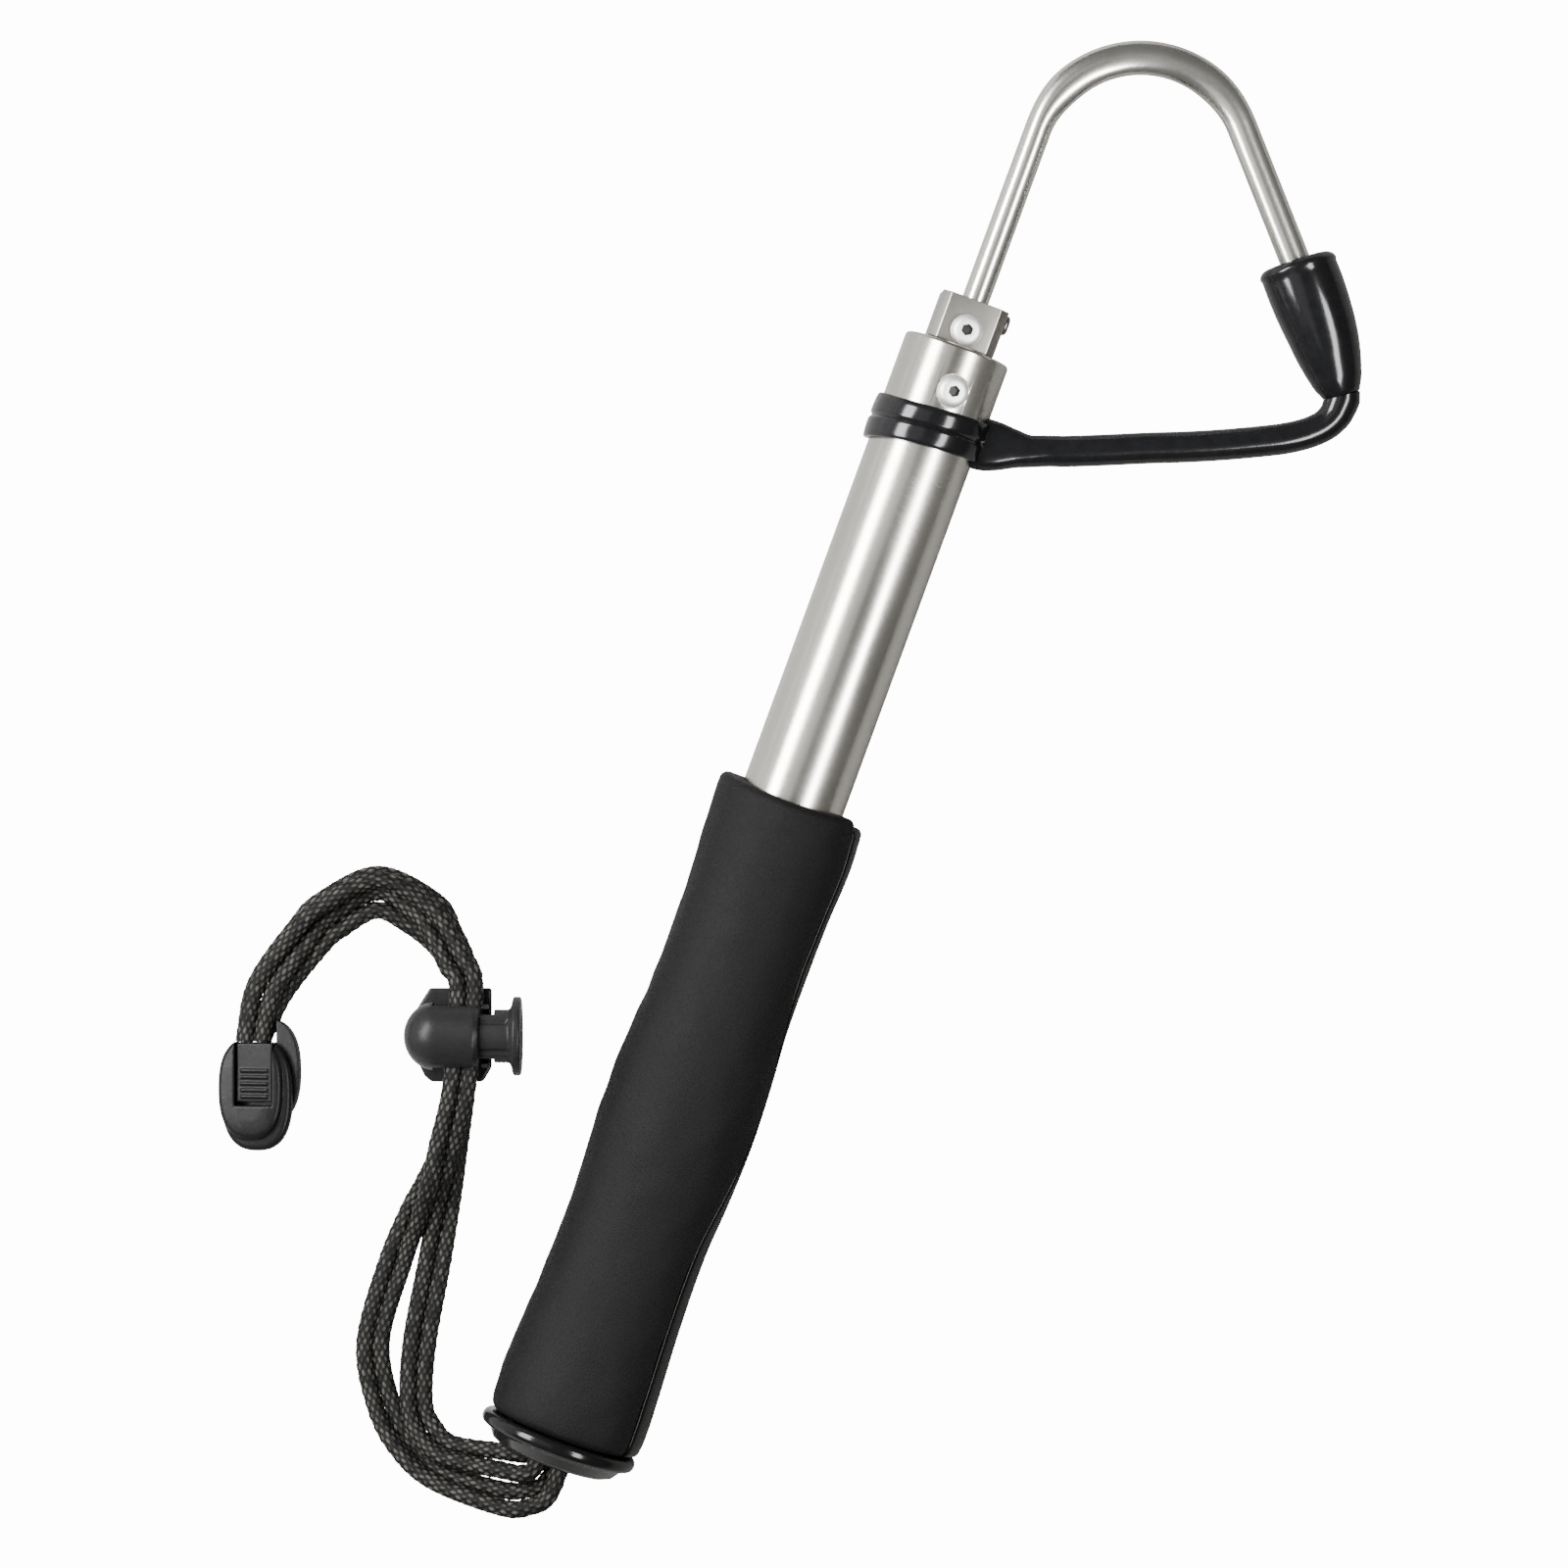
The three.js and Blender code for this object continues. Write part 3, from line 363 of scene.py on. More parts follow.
def add(tree, kind, feeds, **settings):
    """Adds a node and feeds its inputs, each with a socket to link or a value to set."""
    made = tree.nodes.new("ShaderNode" + kind)
    for setting, value in settings.items():
        setattr(made, setting, value)
    for socket, feed in feeds.items():
        if isinstance(feed, bpy.types.NodeSocket):
            tree.links.new(feed, made.inputs[socket])
        else:
            made.inputs[socket].default_value = feed
    return made


def gaff_place(tree, stretch=(1, 1, 1)):
    """Object coordinates in the gaff's millimetres, stretched along its axes"""
    place = add(tree, "TexCoord", {}).outputs["Object"]
    scale = [amount / MM for amount in stretch]
    start = [-offset * amount for offset, amount in zip(DRAWN.translation, scale)]
    return add(tree, "Mapping", {"Vector": place, "Location": start, "Scale": scale}).outputs["Vector"]


def speckle(tree, scale=1.0, detail=3.0, contrast=0.5, stretch=(1, 1, 1), place=None):
    """Noise of a scale per millimetre, over the gaff's own place unless another is given"""
    if place is None:
        place = gaff_place(tree, stretch)
    feeds = {"Vector": place, "Scale": scale, "Detail": detail, "Roughness": contrast}
    return add(tree, "TexNoise", feeds).outputs[0]


def ranged(tree, value, low, high, start=0.3, end=0.7):
    """Takes a value from start to end into low to high."""
    feeds = {"Value": value, "From Min": start, "From Max": end, "To Min": low, "To Max": high}
    return add(tree, "MapRange", feeds).outputs["Result"]


def shades(tree, value, dark, light, start=0.3, end=0.7):
    """A colour between two, as a value goes from start to end"""
    ramp = add(tree, "ValToRGB", {"Fac": value})
    for element, place, colour in zip(ramp.color_ramp.elements, (start, end), (dark, light)):
        element.position = place
        element.color = (*colour, 1)
    return ramp.outputs["Color"]


def added(tree, first, second, share):
    """The first value, and a share of the second"""
    feeds = {0: second, 1: share, 2: first}
    return add(tree, "Math", feeds, operation="MULTIPLY_ADD").outputs[0]


def tint(tree, shader, *shading, **ends):
    """Gives the shader a colour between two shades."""
    tree.links.new(shades(tree, *shading, **ends), shader.inputs["Base Color"])


def dull(tree, shader, *ranging, **ends):
    """Gives the shader a roughness between two values."""
    tree.links.new(ranged(tree, *ranging, **ends), shader.inputs["Roughness"])


def relief(tree, shader, height, distance):
    """Bumps of a depth in millimetres"""
    normal = add(tree, "Bump", {"Height": height, "Distance": distance * MM}).outputs["Normal"]
    tree.links.new(normal, shader.inputs["Normal"])


def steel(name, colour, roughness, lines, depth, wear=0.05):
    """Brushed steel: fine lines across the stretch that is largest, and a slow unevenness"""
    made, tree, shader = finish(name, colour, roughness, metallic=1.0)
    brushing = speckle(tree, detail=4.0, contrast=0.6, stretch=lines)
    patches = speckle(tree, detail=2.0, stretch=(0.06, 0.02, 0.06))
    worn = added(tree, brushing, patches, share=1.2)
    dull(tree, shader, worn, roughness - wear, roughness + wear, start=0.7, end=1.5)
    tint(tree, shader, patches, [value * 0.9 for value in colour], colour)
    relief(tree, shader, brushing, depth)
    return made


def screw_finish():
    """Satin plated steel, with painted shade darkening its hexagon socket"""
    plated, socket_shade = (0.9, 0.89, 0.87), (0.05, 0.048, 0.046)
    made, tree, shader = finish("satin screw steel", plated, 0.55, metallic=1.0)
    grain = speckle(tree, scale=2.5, contrast=0.6)
    dull(tree, shader, grain, low=0.50, high=0.60)
    # The socket's faces, marked by add_screw, get a painted shade as if the recess were in shadow
    socket = add(tree, "Attribute", {}, attribute_name="socket").outputs["Fac"]
    tint(tree, shader, socket, plated, socket_shade, start=0.4, end=0.6)
    relief(tree, shader, grain, 0.004)
    return made


def gloss(name, colour, roughness, specular):
    """Glossy black plastic: a faint moulding ripple, and slightly duller patches"""
    made, tree, shader = finish(name, colour, roughness, specular=specular)
    waves = speckle(tree, scale=0.35, detail=2.0)
    grain = speckle(tree, scale=4.0, detail=4.0, contrast=0.6)
    dull(tree, shader, grain, roughness, roughness + 0.06)
    tint(tree, shader, waves, colour, [value * 1.5 for value in colour])
    relief(tree, shader, added(tree, waves, grain, share=0.04), 0.02)
    return made


def moulding(name, colour, roughness, specular):
    """Satin plastic from a spark-eroded mould: a fine even grain"""
    made, tree, shader = finish(name, colour, roughness, specular=specular)
    grain = speckle(tree, scale=6.0, contrast=0.65)
    clouds = speckle(tree, scale=0.25, detail=2.0)
    dull(tree, shader, clouds, roughness - 0.06, roughness + 0.06)
    tint(tree, shader, grain, [value * 0.75 for value in colour], colour)
    relief(tree, shader, grain, 0.02)
    return made


def foam_finish():
    """Closed foam rubber: dull black with open pores and slow clouds in its tone"""
    made, tree, shader = finish("black foam", (0.007, 0.0065, 0.007), 0.66, specular=0.12)
    pores = add(tree, "TexVoronoi", {"Vector": gaff_place(tree), "Scale": 2.6}).outputs["Distance"]
    grain = speckle(tree, scale=3.2, detail=5.0, contrast=0.7)
    clouds = speckle(tree, contrast=0.6, stretch=(0.08, 0.04, 0.08))
    tone = added(tree, grain, clouds, share=0.8)
    tint(tree, shader, tone, (0.002, 0.0016, 0.002), (0.0078, 0.0068, 0.0078), start=0.6, end=1.2)
    dull(tree, shader, clouds, low=0.58, high=0.70)
    relief(tree, shader, added(tree, grain, pores, share=0.5), 0.12)
    return made


def braid_finish():
    """Black polyester braid: painted shade between the picks, and painted grey-brown highlights as flecks on
    the pick crests, of a random strength per pick
    """
    made, tree, shader = finish("black braid", (0.02, 0.019, 0.017), 0.6, specular=0.12)
    place = add(tree, "UVMap", {}, uv_map="braid").outputs["UV"]
    pick_height = add(tree, "Attribute", {}, attribute_name="pick").outputs["Fac"]
    fleck = add(tree, "Attribute", {}, attribute_name="fleck").outputs["Fac"]
    stretched = add(tree, "Mapping", {"Vector": place, "Scale": (3.0, 60.0, 1.0)}).outputs["Vector"]
    threads = speckle(tree, contrast=0.6, place=stretched)
    # Painted highlight on the crests of the picks and painted shade between them, at a random strength per
    # pick
    crest_highlight = add(tree, "Math", {0: pick_height, 1: fleck}, operation="MULTIPLY").outputs[0]
    tone = added(tree, crest_highlight, threads, share=0.35)
    tint(tree, shader, tone, (0.004, 0.004, 0.004), (0.13, 0.12, 0.104), start=0.57, end=1.06)
    dull(tree, shader, threads, low=0.45, high=0.75)
    relief(tree, shader, threads, 0.12)
    return made


def nylon_finish():
    """White nylon, a little see-through, with the faint lines of its turning"""
    made, tree, shader = finish("white nylon", (0.72, 0.71, 0.66), 0.42)
    grain = speckle(tree, stretch=(1.5, 6.0, 1.5))
    tint(tree, shader, grain, (0.62, 0.61, 0.56), (0.74, 0.73, 0.69))
    shader.inputs["Subsurface Weight"].default_value = 0.15
    relief(tree, shader, grain, 0.02)
    return made


BRUSHED_STEEL = steel(
    "brushed steel", (0.53, 0.51, 0.468), roughness=0.235, lines=(0.5, 5.0, 0.5), depth=0.006)
HEAD_STEEL = steel(
    "turned head steel", (0.52, 0.5, 0.458), roughness=0.24, lines=(0.6, 6.0, 0.6), depth=0.006)
BLOCK_STEEL = steel(
    "ground block steel", (0.345, 0.33, 0.3), roughness=0.34, lines=(0.5, 4.0, 0.5), depth=0.010)
HOOK_STEEL = steel(
    "polished hook steel", (0.655, 0.635, 0.59), roughness=0.23, lines=(2.0, 0.7, 2.0), depth=0.003,
    wear=0.03)
DARK_SCREW_STEEL = steel(
    "dark screw steel", (0.20, 0.195, 0.19), roughness=0.3, lines=(2.0, 2.0, 2.0), depth=0.003, wear=0.04)
SCREW_STEEL = screw_finish()
BLACK_FOAM = foam_finish()
BLACK_GLOSS = gloss("glossy black plastic", (0.0085, 0.008, 0.0085), roughness=0.12, specular=0.25)
SPINE_GLOSS = gloss("polished black strip", (0.004, 0.004, 0.0045), roughness=0.18, specular=0.1)
GUARD_VINYL = gloss("glossy black vinyl", (0.010, 0.010, 0.0115), roughness=0.13, specular=0.37)
LOCK_MOULDING = moulding("dark grey moulding", (0.036, 0.0345, 0.0355), roughness=0.32, specular=0.11)
CLIP_MOULDING = moulding("black moulding", (0.0195, 0.019, 0.0193), roughness=0.3, specular=0.08)
WHITE_NYLON = nylon_finish()
BLACK_BRAID = braid_finish()


# Wrist cord: four braided strands
CORD_DIAMETER = 3.6
CORD_LEAST_HEIGHT = 2.19
CARRIERS = 8
LAY_LENGTH = 24
CREST_POWER = 0.8
CORD_CORE = 1.84
PICK_RELIEF = 0.34
RING_PITCH = 0.3
ROUTE_STEPS = 40
CORD_SIDES = 48
FLECK_SEED = 11
FLECK_RANGE = (0.5, 1.0)
KNOT_STEPS, KNOT_LOBES = 48, 3

# Chosen places of the four strands, each an X, a Y and a height above the floor
STRAND_ROUTES = {
    "cord_strand_1": [
        (-1.9, 5.2, 17.1), (-3.0, -1.7, 16.8), (-5.9, -4.6, 15.8), (-11.9, -6.4, 13.2),
        (-23.3, -9.5, 6.8), (-28.9, -7.6, 4.0), (-33.2, -3.0, 2.4), (-37.2, 10.3, 1.9),
        (-40.5, 29.3, 1.9), (-43.0, 42.2, 2.3), (-44.4, 49.2, 3.2), (-46.1, 56.9, 4.6),
        (-49.5, 72.3, 7.0), (-55.8, 94.4, 6.9), (-60.1, 100.2, 5.3), (-65.1, 105.1, 3.6),
        (-71.6, 110.4, 2.4), (-87.0, 111.7, 1.9), (-97.8, 101.0, 1.9), (-101.2, 93.3, 1.9),
        (-105.5, 77.0, 2.0), (-103.4, 63.0, 2.4),
    ],
    "cord_strand_2": [
        (-1.9, 5.2, 20.9), (-3.0, -6.0, 20.2), (-5.6, -8.9, 18.9), (-10.3, -10.1, 16.4),
        (-23.4, -12.9, 9.2), (-30.3, -11.4, 6.0), (-36.2, -5.5, 3.3), (-41.0, 8.9, 1.9),
        (-44.2, 28.0, 1.9), (-46.3, 41.1, 4.0), (-47.2, 48.4, 6.3), (-47.7, 56.6, 8.3),
        (-49.3, 72.6, 10.8), (-55.6, 94.6, 10.8), (-60.2, 99.7, 9.3), (-65.9, 104.5, 7.5),
        (-72.8, 108.9, 6.1), (-86.3, 110.6, 5.7), (-96.6, 100.4, 6.5), (-100.5, 92.9, 6.0),
        (-104.8, 76.9, 5.8), (-102.9, 63.2, 6.2),
    ],
    "cord_strand_3": [
        (2.0, 5.2, 17.1), (0.8, -8.6, 16.2), (-3.0, -12.5, 15.0), (-8.5, -14.9, 12.8),
        (-23.5, -16.7, 6.2), (-31.2, -14.4, 2.9), (-38.8, -7.9, 1.9), (-47.7, 6.5, 1.9),
        (-49.3, 26.1, 1.9), (-49.4, 39.9, 6.0), (-49.7, 47.5, 9.2), (-51.0, 55.6, 10.3),
        (-53.0, 71.3, 10.9), (-59.3, 92.9, 10.9), (-63.5, 96.9, 9.0), (-68.4, 101.5, 6.6),
        (-74.3, 105.6, 4.0), (-85.4, 107.8, 2.5), (-94.1, 98.5, 2.6), (-96.8, 91.9, 3.8),
        (-100.6, 77.4, 5.7), (-99.3, 64.5, 6.1),
    ],
    "cord_strand_4": [
        (2.2, 5.2, 20.9), (2.6, -10.4, 20.1), (-0.9, -15.6, 18.6), (-7.3, -18.5, 15.8),
        (-24.7, -19.2, 9.2), (-35.2, -15.5, 5.7), (-43.6, -8.4, 2.6), (-51.4, 5.1, 1.9),
        (-53.2, 24.7, 1.9), (-52.6, 38.5, 2.8), (-51.4, 46.5, 4.6), (-50.8, 55.3, 5.8),
        (-53.1, 71.0, 7.1), (-59.3, 92.8, 6.8), (-63.5, 97.1, 4.5), (-68.9, 100.5, 2.4),
        (-76.1, 102.8, 1.9), (-84.4, 103.5, 1.9), (-90.7, 96.3, 1.9), (-93.6, 91.1, 1.9),
        (-98.2, 76.9, 1.9), (-99.3, 64.5, 2.4),
    ],
}


def even_line(stations, pitch):
    """Points at even steps along the smooth line through stations"""
    fine = [Vector(place) for place in spline(stations, ROUTE_STEPS)]
    made = [fine[0]]
    left = pitch
    for here, there in zip(fine, fine[1:]):
        span_left = (there - here).length
        while left <= span_left:
            here = here.lerp(there, left / span_left)
            made.append(here.copy())
            span_left = (there - here).length
            left = pitch
        left -= span_left
    if (fine[-1] - made[-1]).length > pitch / 4:
        made.append(fine[-1])
    return made


def pick_at(along, around):
    """The braid at a place on the cord: which pick lies on top there, and its height from 0 to 1"""
    right = CARRIERS * (around - along / LAY_LENGTH)
    left = CARRIERS * (around + along / LAY_LENGTH)
    i, j = math.floor(right), math.floor(left)
    across, ahead = (right - i, left - j) if (i + j) % 2 == 0 else (left - j, right - i)
    pillow = max(0, 1 - (2 * across - 1) ** 2) ** 0.5
    crest = math.sin(math.pi * ahead) ** CREST_POWER
    return (j - i, (i + j) % (2 * CARRIERS)), pillow * crest


def braided(name, line, seed):
    """A braided cord along a line of points at even steps, with its weave in its shape"""
    draw = random.Random(seed)
    flecks = {}
    points, heights, tones = [], [], []
    side = Vector((0, 0, 1))
    for n, centre in enumerate(line):
        heading = (line[min(n + 1, len(line) - 1)] - line[max(n - 1, 0)]).normalized()
        side = (side - heading * side.dot(heading)).normalized()
        over = heading.cross(side)
        for k in range(CORD_SIDES):
            turn = k / CORD_SIDES
            key, height = pick_at(n * RING_PITCH, turn)
            angle = 2 * math.pi * turn
            out = side * math.cos(angle) + over * math.sin(angle)
            points.append(centre + out * (CORD_CORE + PICK_RELIEF * height))
            heights.append(height)
            tones.append(flecks.setdefault(key, draw.uniform(*FLECK_RANGE)))
    piece = mesh_piece(name, points, rings_joined(len(line), CORD_SIDES))
    # pick holds each pick's height, which the braid finish turns into painted highlight and shade; fleck is a
    # random strength per pick
    for attribute, values in (("pick", heights), ("fleck", tones)):
        made = piece.data.attributes.new(attribute, "FLOAT", "POINT")
        made.data.foreach_set("value", values)
    unwrapped = piece.data.uv_layers.new(name="braid")
    for face in piece.data.polygons:
        columns = [v % CORD_SIDES for v in face.vertices]
        wraps = 0 in columns and CORD_SIDES - 1 in columns
        for corner, v, column in zip(face.loop_indices, face.vertices, columns):
            turn = CORD_SIDES if wraps and column == 0 else column
            unwrapped.data[corner].uv = (v // CORD_SIDES * RING_PITCH, turn / CORD_SIDES)
    piece.data.shade_smooth()
    return piece


def add_cords():
    """The four strands, each with its line in metres"""
    made = []
    for seed, (node, route) in enumerate(STRAND_ROUTES.items(), FLECK_SEED):
        stations = [(x, y, FLOOR + max(height, CORD_LEAST_HEIGHT)) for x, y, height in route]
        line = even_line(stations, RING_PITCH)
        for place in line:
            place.z = max(place.z, FLOOR + CORD_LEAST_HEIGHT)
        piece = braided(node.replace("cord", "wrist"), line, seed)
        dress(piece, BLACK_BRAID, "handle", "black_braid", node)
        made.append((piece, [DRAWN @ place for place in line]))
    return made


def add_knot():
    """The end knot of the cord, a trefoil inside the cap"""
    low, high = span("cord_knot")
    middle = (low + high) / 2
    reach = (high.x - low.x) / 2 - CORD_DIAMETER / 2
    line = []
    for i in range(KNOT_STEPS + 1):
        turn = 2 * math.pi * i / KNOT_STEPS
        swell = (2 + math.cos(KNOT_LOBES * turn)) / 3
        line.append((
            middle.x + reach * swell * math.cos(2 * turn),
            middle.y + (high.y - low.y - CORD_DIAMETER) / 2 * math.sin(KNOT_LOBES * turn),
            middle.z + reach * swell * math.sin(2 * turn)))
    piece = braided("cord_end_knot", even_line(line, RING_PITCH), FLECK_SEED - 1)
    dress(piece, BLACK_BRAID, "handle", "black_braid", "cord_knot")


# Tube sections, bushes and butt cap
TUBE_WALL = 0.8
TUBE_EDGE = 0.2
BUSH_FIT = 0.1
SCREW_HOLE = 2.3
COLLAR_SCREW_HEIGHT = 265.2
COLLAR_SCREW_TURN = 10.4


def around_collar(out):
    """A place that stands out of the collar at its screw, along Y of what is put there"""
    return spun(COLLAR_SCREW_TURN, "Y") @ shift(0, COLLAR_SCREW_HEIGHT, out) @ spun(90, "X")


def pipe(name, bore, radius, foot, top, edge=TUBE_EDGE):
    """A tube along Y with broken edges"""
    return turned(name, [
        (bore, foot + edge), (bore + edge, foot), (radius - edge, foot), (radius, foot + edge),
        (radius, top - edge), (radius - edge, top), (bore + edge, top), (bore, top - edge),
        (bore, foot + edge)])


def measured(node):
    """The radius, foot and top of a node that is turned about the gaff's axis"""
    low, high = span(node)
    return (high.x - low.x) / 2, low.y, high.y


def add_tubes():
    """The shells of the three tube sections, the inner one with a hole for the collar's screw"""
    for node, name, body in (
            ("outer_tube", "tube_shell", "handle"), ("middle_tube", "middle_shell", "middle")):
        radius, foot, top = measured(node)
        piece = smooth(pipe(name, radius - TUBE_WALL, radius, foot, top))
        dress(piece, BRUSHED_STEEL, body, "tube_steel", node)
    radius, foot, top = measured("inner_tube")
    piece = pipe("inner_shell", radius - TUBE_WALL, radius, foot, top)
    hole = pin("collar screw hole", SCREW_HOLE, radius / 2, radius + OVERRUN, around_collar(0))
    dress(smooth(cut(piece, hole)), BRUSHED_STEEL, "head", "tube_steel", "inner_tube")


def add_bushes():
    """The nylon sleeves that the tube sections slide in"""
    outer_bore = measured("outer_tube")[0] - TUBE_WALL
    middle_radius = measured("middle_tube")[0]
    middle_bore = middle_radius - TUBE_WALL
    inner_radius = measured("inner_tube")[0]
    for node, bore, radius, body in (
            ("outer_top_bush", middle_radius, outer_bore, "handle"),
            ("middle_bottom_bush", middle_radius, outer_bore, "middle"),
            ("middle_top_bush", inner_radius, middle_bore, "middle"),
            ("inner_bottom_bush", inner_radius, middle_bore, "head")):
        _, foot, top = measured(node)
        name = node.replace("bush", "sleeve")
        piece = pipe(name, bore + BUSH_FIT, radius - BUSH_FIT, foot, top, BUSH_FIT)
        dress(smooth(piece), WHITE_NYLON, body, "white_nylon", node)


FLANGE_THICKNESS, FLANGE_RIM = 3.5, 1.6
PLUG_RADIUS, PLUG_TOP, PLUG_CHAMFER, PLUG_ROOT = 11.5, 16.0, 0.8, 0.4
CUP_RADIUS, CUP_FLOOR, CUP_EDGE = 9.7, 5.2, 0.3
CORD_HOLE, CORD_HOLE_ROUND = 5.5, 3.6

# The domed foot of the cap, from the cord's hole outwards: a radius, and a height over its lowest point
FOOT_DOME = [(9.2, 0), (12.0, 0), (13.2, 0.15), (15.0, 1.0)]
DOME_SHOULDER = -0.55


def add_cap():
    """The butt cap: a wide round flange with a domed foot, and a plug with a cup for the knot"""
    radius, foot, _ = measured("end_cap")
    rim, flare = FLANGE_RIM, CORD_HOLE_ROUND
    piece = turned("butt_cap", [
        *((wide, foot + high) for wide, high in FOOT_DOME), (radius - rim - 1, DOME_SHOULDER),
        *arc((radius - rim, rim), rim, -80, 0, 8),
        *arc((radius - rim, FLANGE_THICKNESS - rim), rim, 0, 90, 8),
        (PLUG_RADIUS + PLUG_ROOT, FLANGE_THICKNESS), (PLUG_RADIUS, FLANGE_THICKNESS + PLUG_ROOT),
        (PLUG_RADIUS, PLUG_TOP - PLUG_CHAMFER), (PLUG_RADIUS - PLUG_CHAMFER, PLUG_TOP),
        (CUP_RADIUS + CUP_EDGE, PLUG_TOP), (CUP_RADIUS, PLUG_TOP - CUP_EDGE), (CUP_RADIUS, CUP_FLOOR),
        (CORD_HOLE + CUP_EDGE, CUP_FLOOR), (CORD_HOLE, CUP_FLOOR - CUP_EDGE), (CORD_HOLE, foot + flare),
        *arc((CORD_HOLE + flare, foot + flare), flare, 180, 262, 8), (FOOT_DOME[0][0], foot)])
    dress(smooth(piece), BLACK_GLOSS, "handle", "black_gloss", "end_cap")


# Grip: a foam sleeve, closed along its right rear side by a glossy spine
GRIP_BORE = 12.8
GRIP_FOOT = 3.8
GRIP_TOP = 163.8
SPINE_DROP = 2.2
SPINE_REAR = -49
GRIP_ROWS = 90
FOAM_COLUMNS, FOAM_EDGE, FOAM_END = 120, 0.7, 1.9
FOAM_UNEVENNESS, UNEVENNESS_SCALE = 0.25, 0.16
SPINE_COLUMNS, SPINE_EDGE, SPINE_END, SPINE_PROUD = 40, 0.9, 1.6, 0.1
LIP_DIP, LIP_REACH = 1.8, 14
END_STEPS = 6
EDGE_SHARES = [0, 0.15, 0.45, 1]
SLEEVE_DEGREES = 50

# The grip's outline: a height, and how far its left and right sides stand out there
GRIP_OUTLINE = [
    (3.8, 17.6, 18.7), (8.1, 18.4, 19.15), (17.4, 18.52, 18.87), (35.9, 17.59, 17.94), (54.4, 17.02, 17.71),
    (68.3, 17.5, 18.65), (82.2, 18.15, 19.1), (96.1, 17.94, 18.64), (110, 16.9, 17.71), (123.9, 16.67, 17.6),
    (137.7, 16.9, 17.83), (151.6, 17.71, 18.52), (163.8, 18.17, 17.9),
]

# The front seam: a height, and the angle from +X towards +Z
SEAM_LINE = [
    (3.8, 33), (30, 32), (59, 29.5), (80, 14), (95, 5), (110, 14), (124, 24), (133, 23), (145, 23),
    (163.8, 26),
]


def sleeve(name, top, angle_from, angle_to, columns, edge, end_round, unevenness=0.0, proud=0.0):
    """A part of the grip's sleeve between two angles, with rounded ends and rounded edges at its seams"""
    quarter = [math.radians(90 * i / END_STEPS) for i in range(1, END_STEPS + 1)]
    ends = [(math.sin(a) * end_round, (1 - math.cos(a)) * end_round) for a in quarter]
    straight = top - GRIP_FOOT - 2 * end_round
    rows = [(GRIP_FOOT + end_round - rise, inset) for rise, inset in reversed(ends)]
    rows += [(GRIP_FOOT + end_round + straight * i / GRIP_ROWS, 0) for i in range(GRIP_ROWS + 1)]
    rows += [(top - end_round + rise, inset) for rise, inset in ends]
    shares = [share * edge for share in EDGE_SHARES]
    points = []
    for column in range(columns + 1):
        for height, inset in rows:
            left, right = followed(GRIP_OUTLINE, height)
            radius = (left + right) / 2 - inset + proud
            gap = SEAT_GAP / 2 / radius
            start = math.radians(angle_from(height)) + gap
            end = math.radians(angle_to(height)) - gap
            margin = edge / radius
            if column < len(shares):
                angle = start + shares[column] / radius
            elif columns - column < len(shares):
                angle = end - shares[columns - column] / radius
            else:
                share = (column - len(shares) + 1) / (columns - 2 * len(shares) + 2)
                angle = start + margin + (end - start - 2 * margin) * share
            near = min(angle - start, end - angle) * radius
            if near < edge:
                radius -= edge * (1 - (1 - (1 - near / edge) ** 2) ** 0.5)
            out = Vector((math.cos(angle), 0, math.sin(angle)))
            place = Vector(((right - left) / 2, height, 0)) + out * radius
            place += out * unevenness * noise.noise(place * UNEVENNESS_SCALE)
            points.append(dipped(place, out.z, top))
        for height, _ in reversed(rows):
            start = math.radians(angle_from(height)) + SEAT_GAP / 2 / GRIP_BORE
            end = math.radians(angle_to(height)) - SEAT_GAP / 2 / GRIP_BORE
            angle = start + (end - start) * column / columns
            place = Vector((math.cos(angle) * GRIP_BORE, height, math.sin(angle) * GRIP_BORE))
            points.append(dipped(place, math.sin(angle), top))
    row = 2 * len(rows)
    faces = [tuple(range(row)), tuple(columns * row + i for i in reversed(range(row)))]
    for column in range(columns):
        for i in range(row):
            a, b = column * row + i, column * row + (i + 1) % row
            faces.append((a, a + row, b + row, b))
    return smooth(mesh_piece(name, points, faces), SLEEVE_DEGREES)


def dipped(place, front, top):
    """Lowers a place near the sleeve's top, the more the farther it faces the front."""
    place.y -= LIP_DIP * max(0, front) * eased(max(0, 1 - (top - place.y) / LIP_REACH))
    return place


def front_seam(height):
    """The angle of the grip's front seam"""
    return followed(SEAM_LINE, height)[0]


def add_grip():
    """The padded foam sleeve, and the spine that fills the gap between its two edges"""
    foam = sleeve("foam_sleeve", GRIP_TOP, front_seam, lambda height: 360 + SPINE_REAR, FOAM_COLUMNS,
                  FOAM_EDGE, FOAM_END, FOAM_UNEVENNESS)
    dress(foam, BLACK_FOAM, "handle", "black_foam", "grip_foam")
    spine = sleeve("spine_strip", GRIP_TOP - SPINE_DROP, lambda height: SPINE_REAR, front_seam, SPINE_COLUMNS,
                   SPINE_EDGE, SPINE_END, proud=SPINE_PROUD)
    dress(spine, SPINE_GLOSS, "handle", "black_gloss", "grip_spine")


# Head: collar, block, screws and hook
COLLAR_SEAT, COLLAR_FLAT, COLLAR_SHOULDER = 12.55, 12.25, 270.3
COLLAR_BORE, COLLAR_EDGE, COLLAR_ROUND = 9.8, 0.2, 0.9
FLAT_CUT, HOLE_CUT, SCREW_END = 3, 4, 1
WIRE_HOLE, HOLE_EDGE = 3.55, 0.3
BLOCK_HALF, BLOCK_TURN, BLOCK_BEVEL = 8.2, 3, 2
BLOCK_EDGE, BLOCK_MOUTH, BLOCK_DEGREES = 0.22, 0.4, 20
BLOCK_FRONT_SCREW, BLOCK_SIDE_SCREW, SIDE_SCREW_HOLE = 3.8, 8.7, 1.8

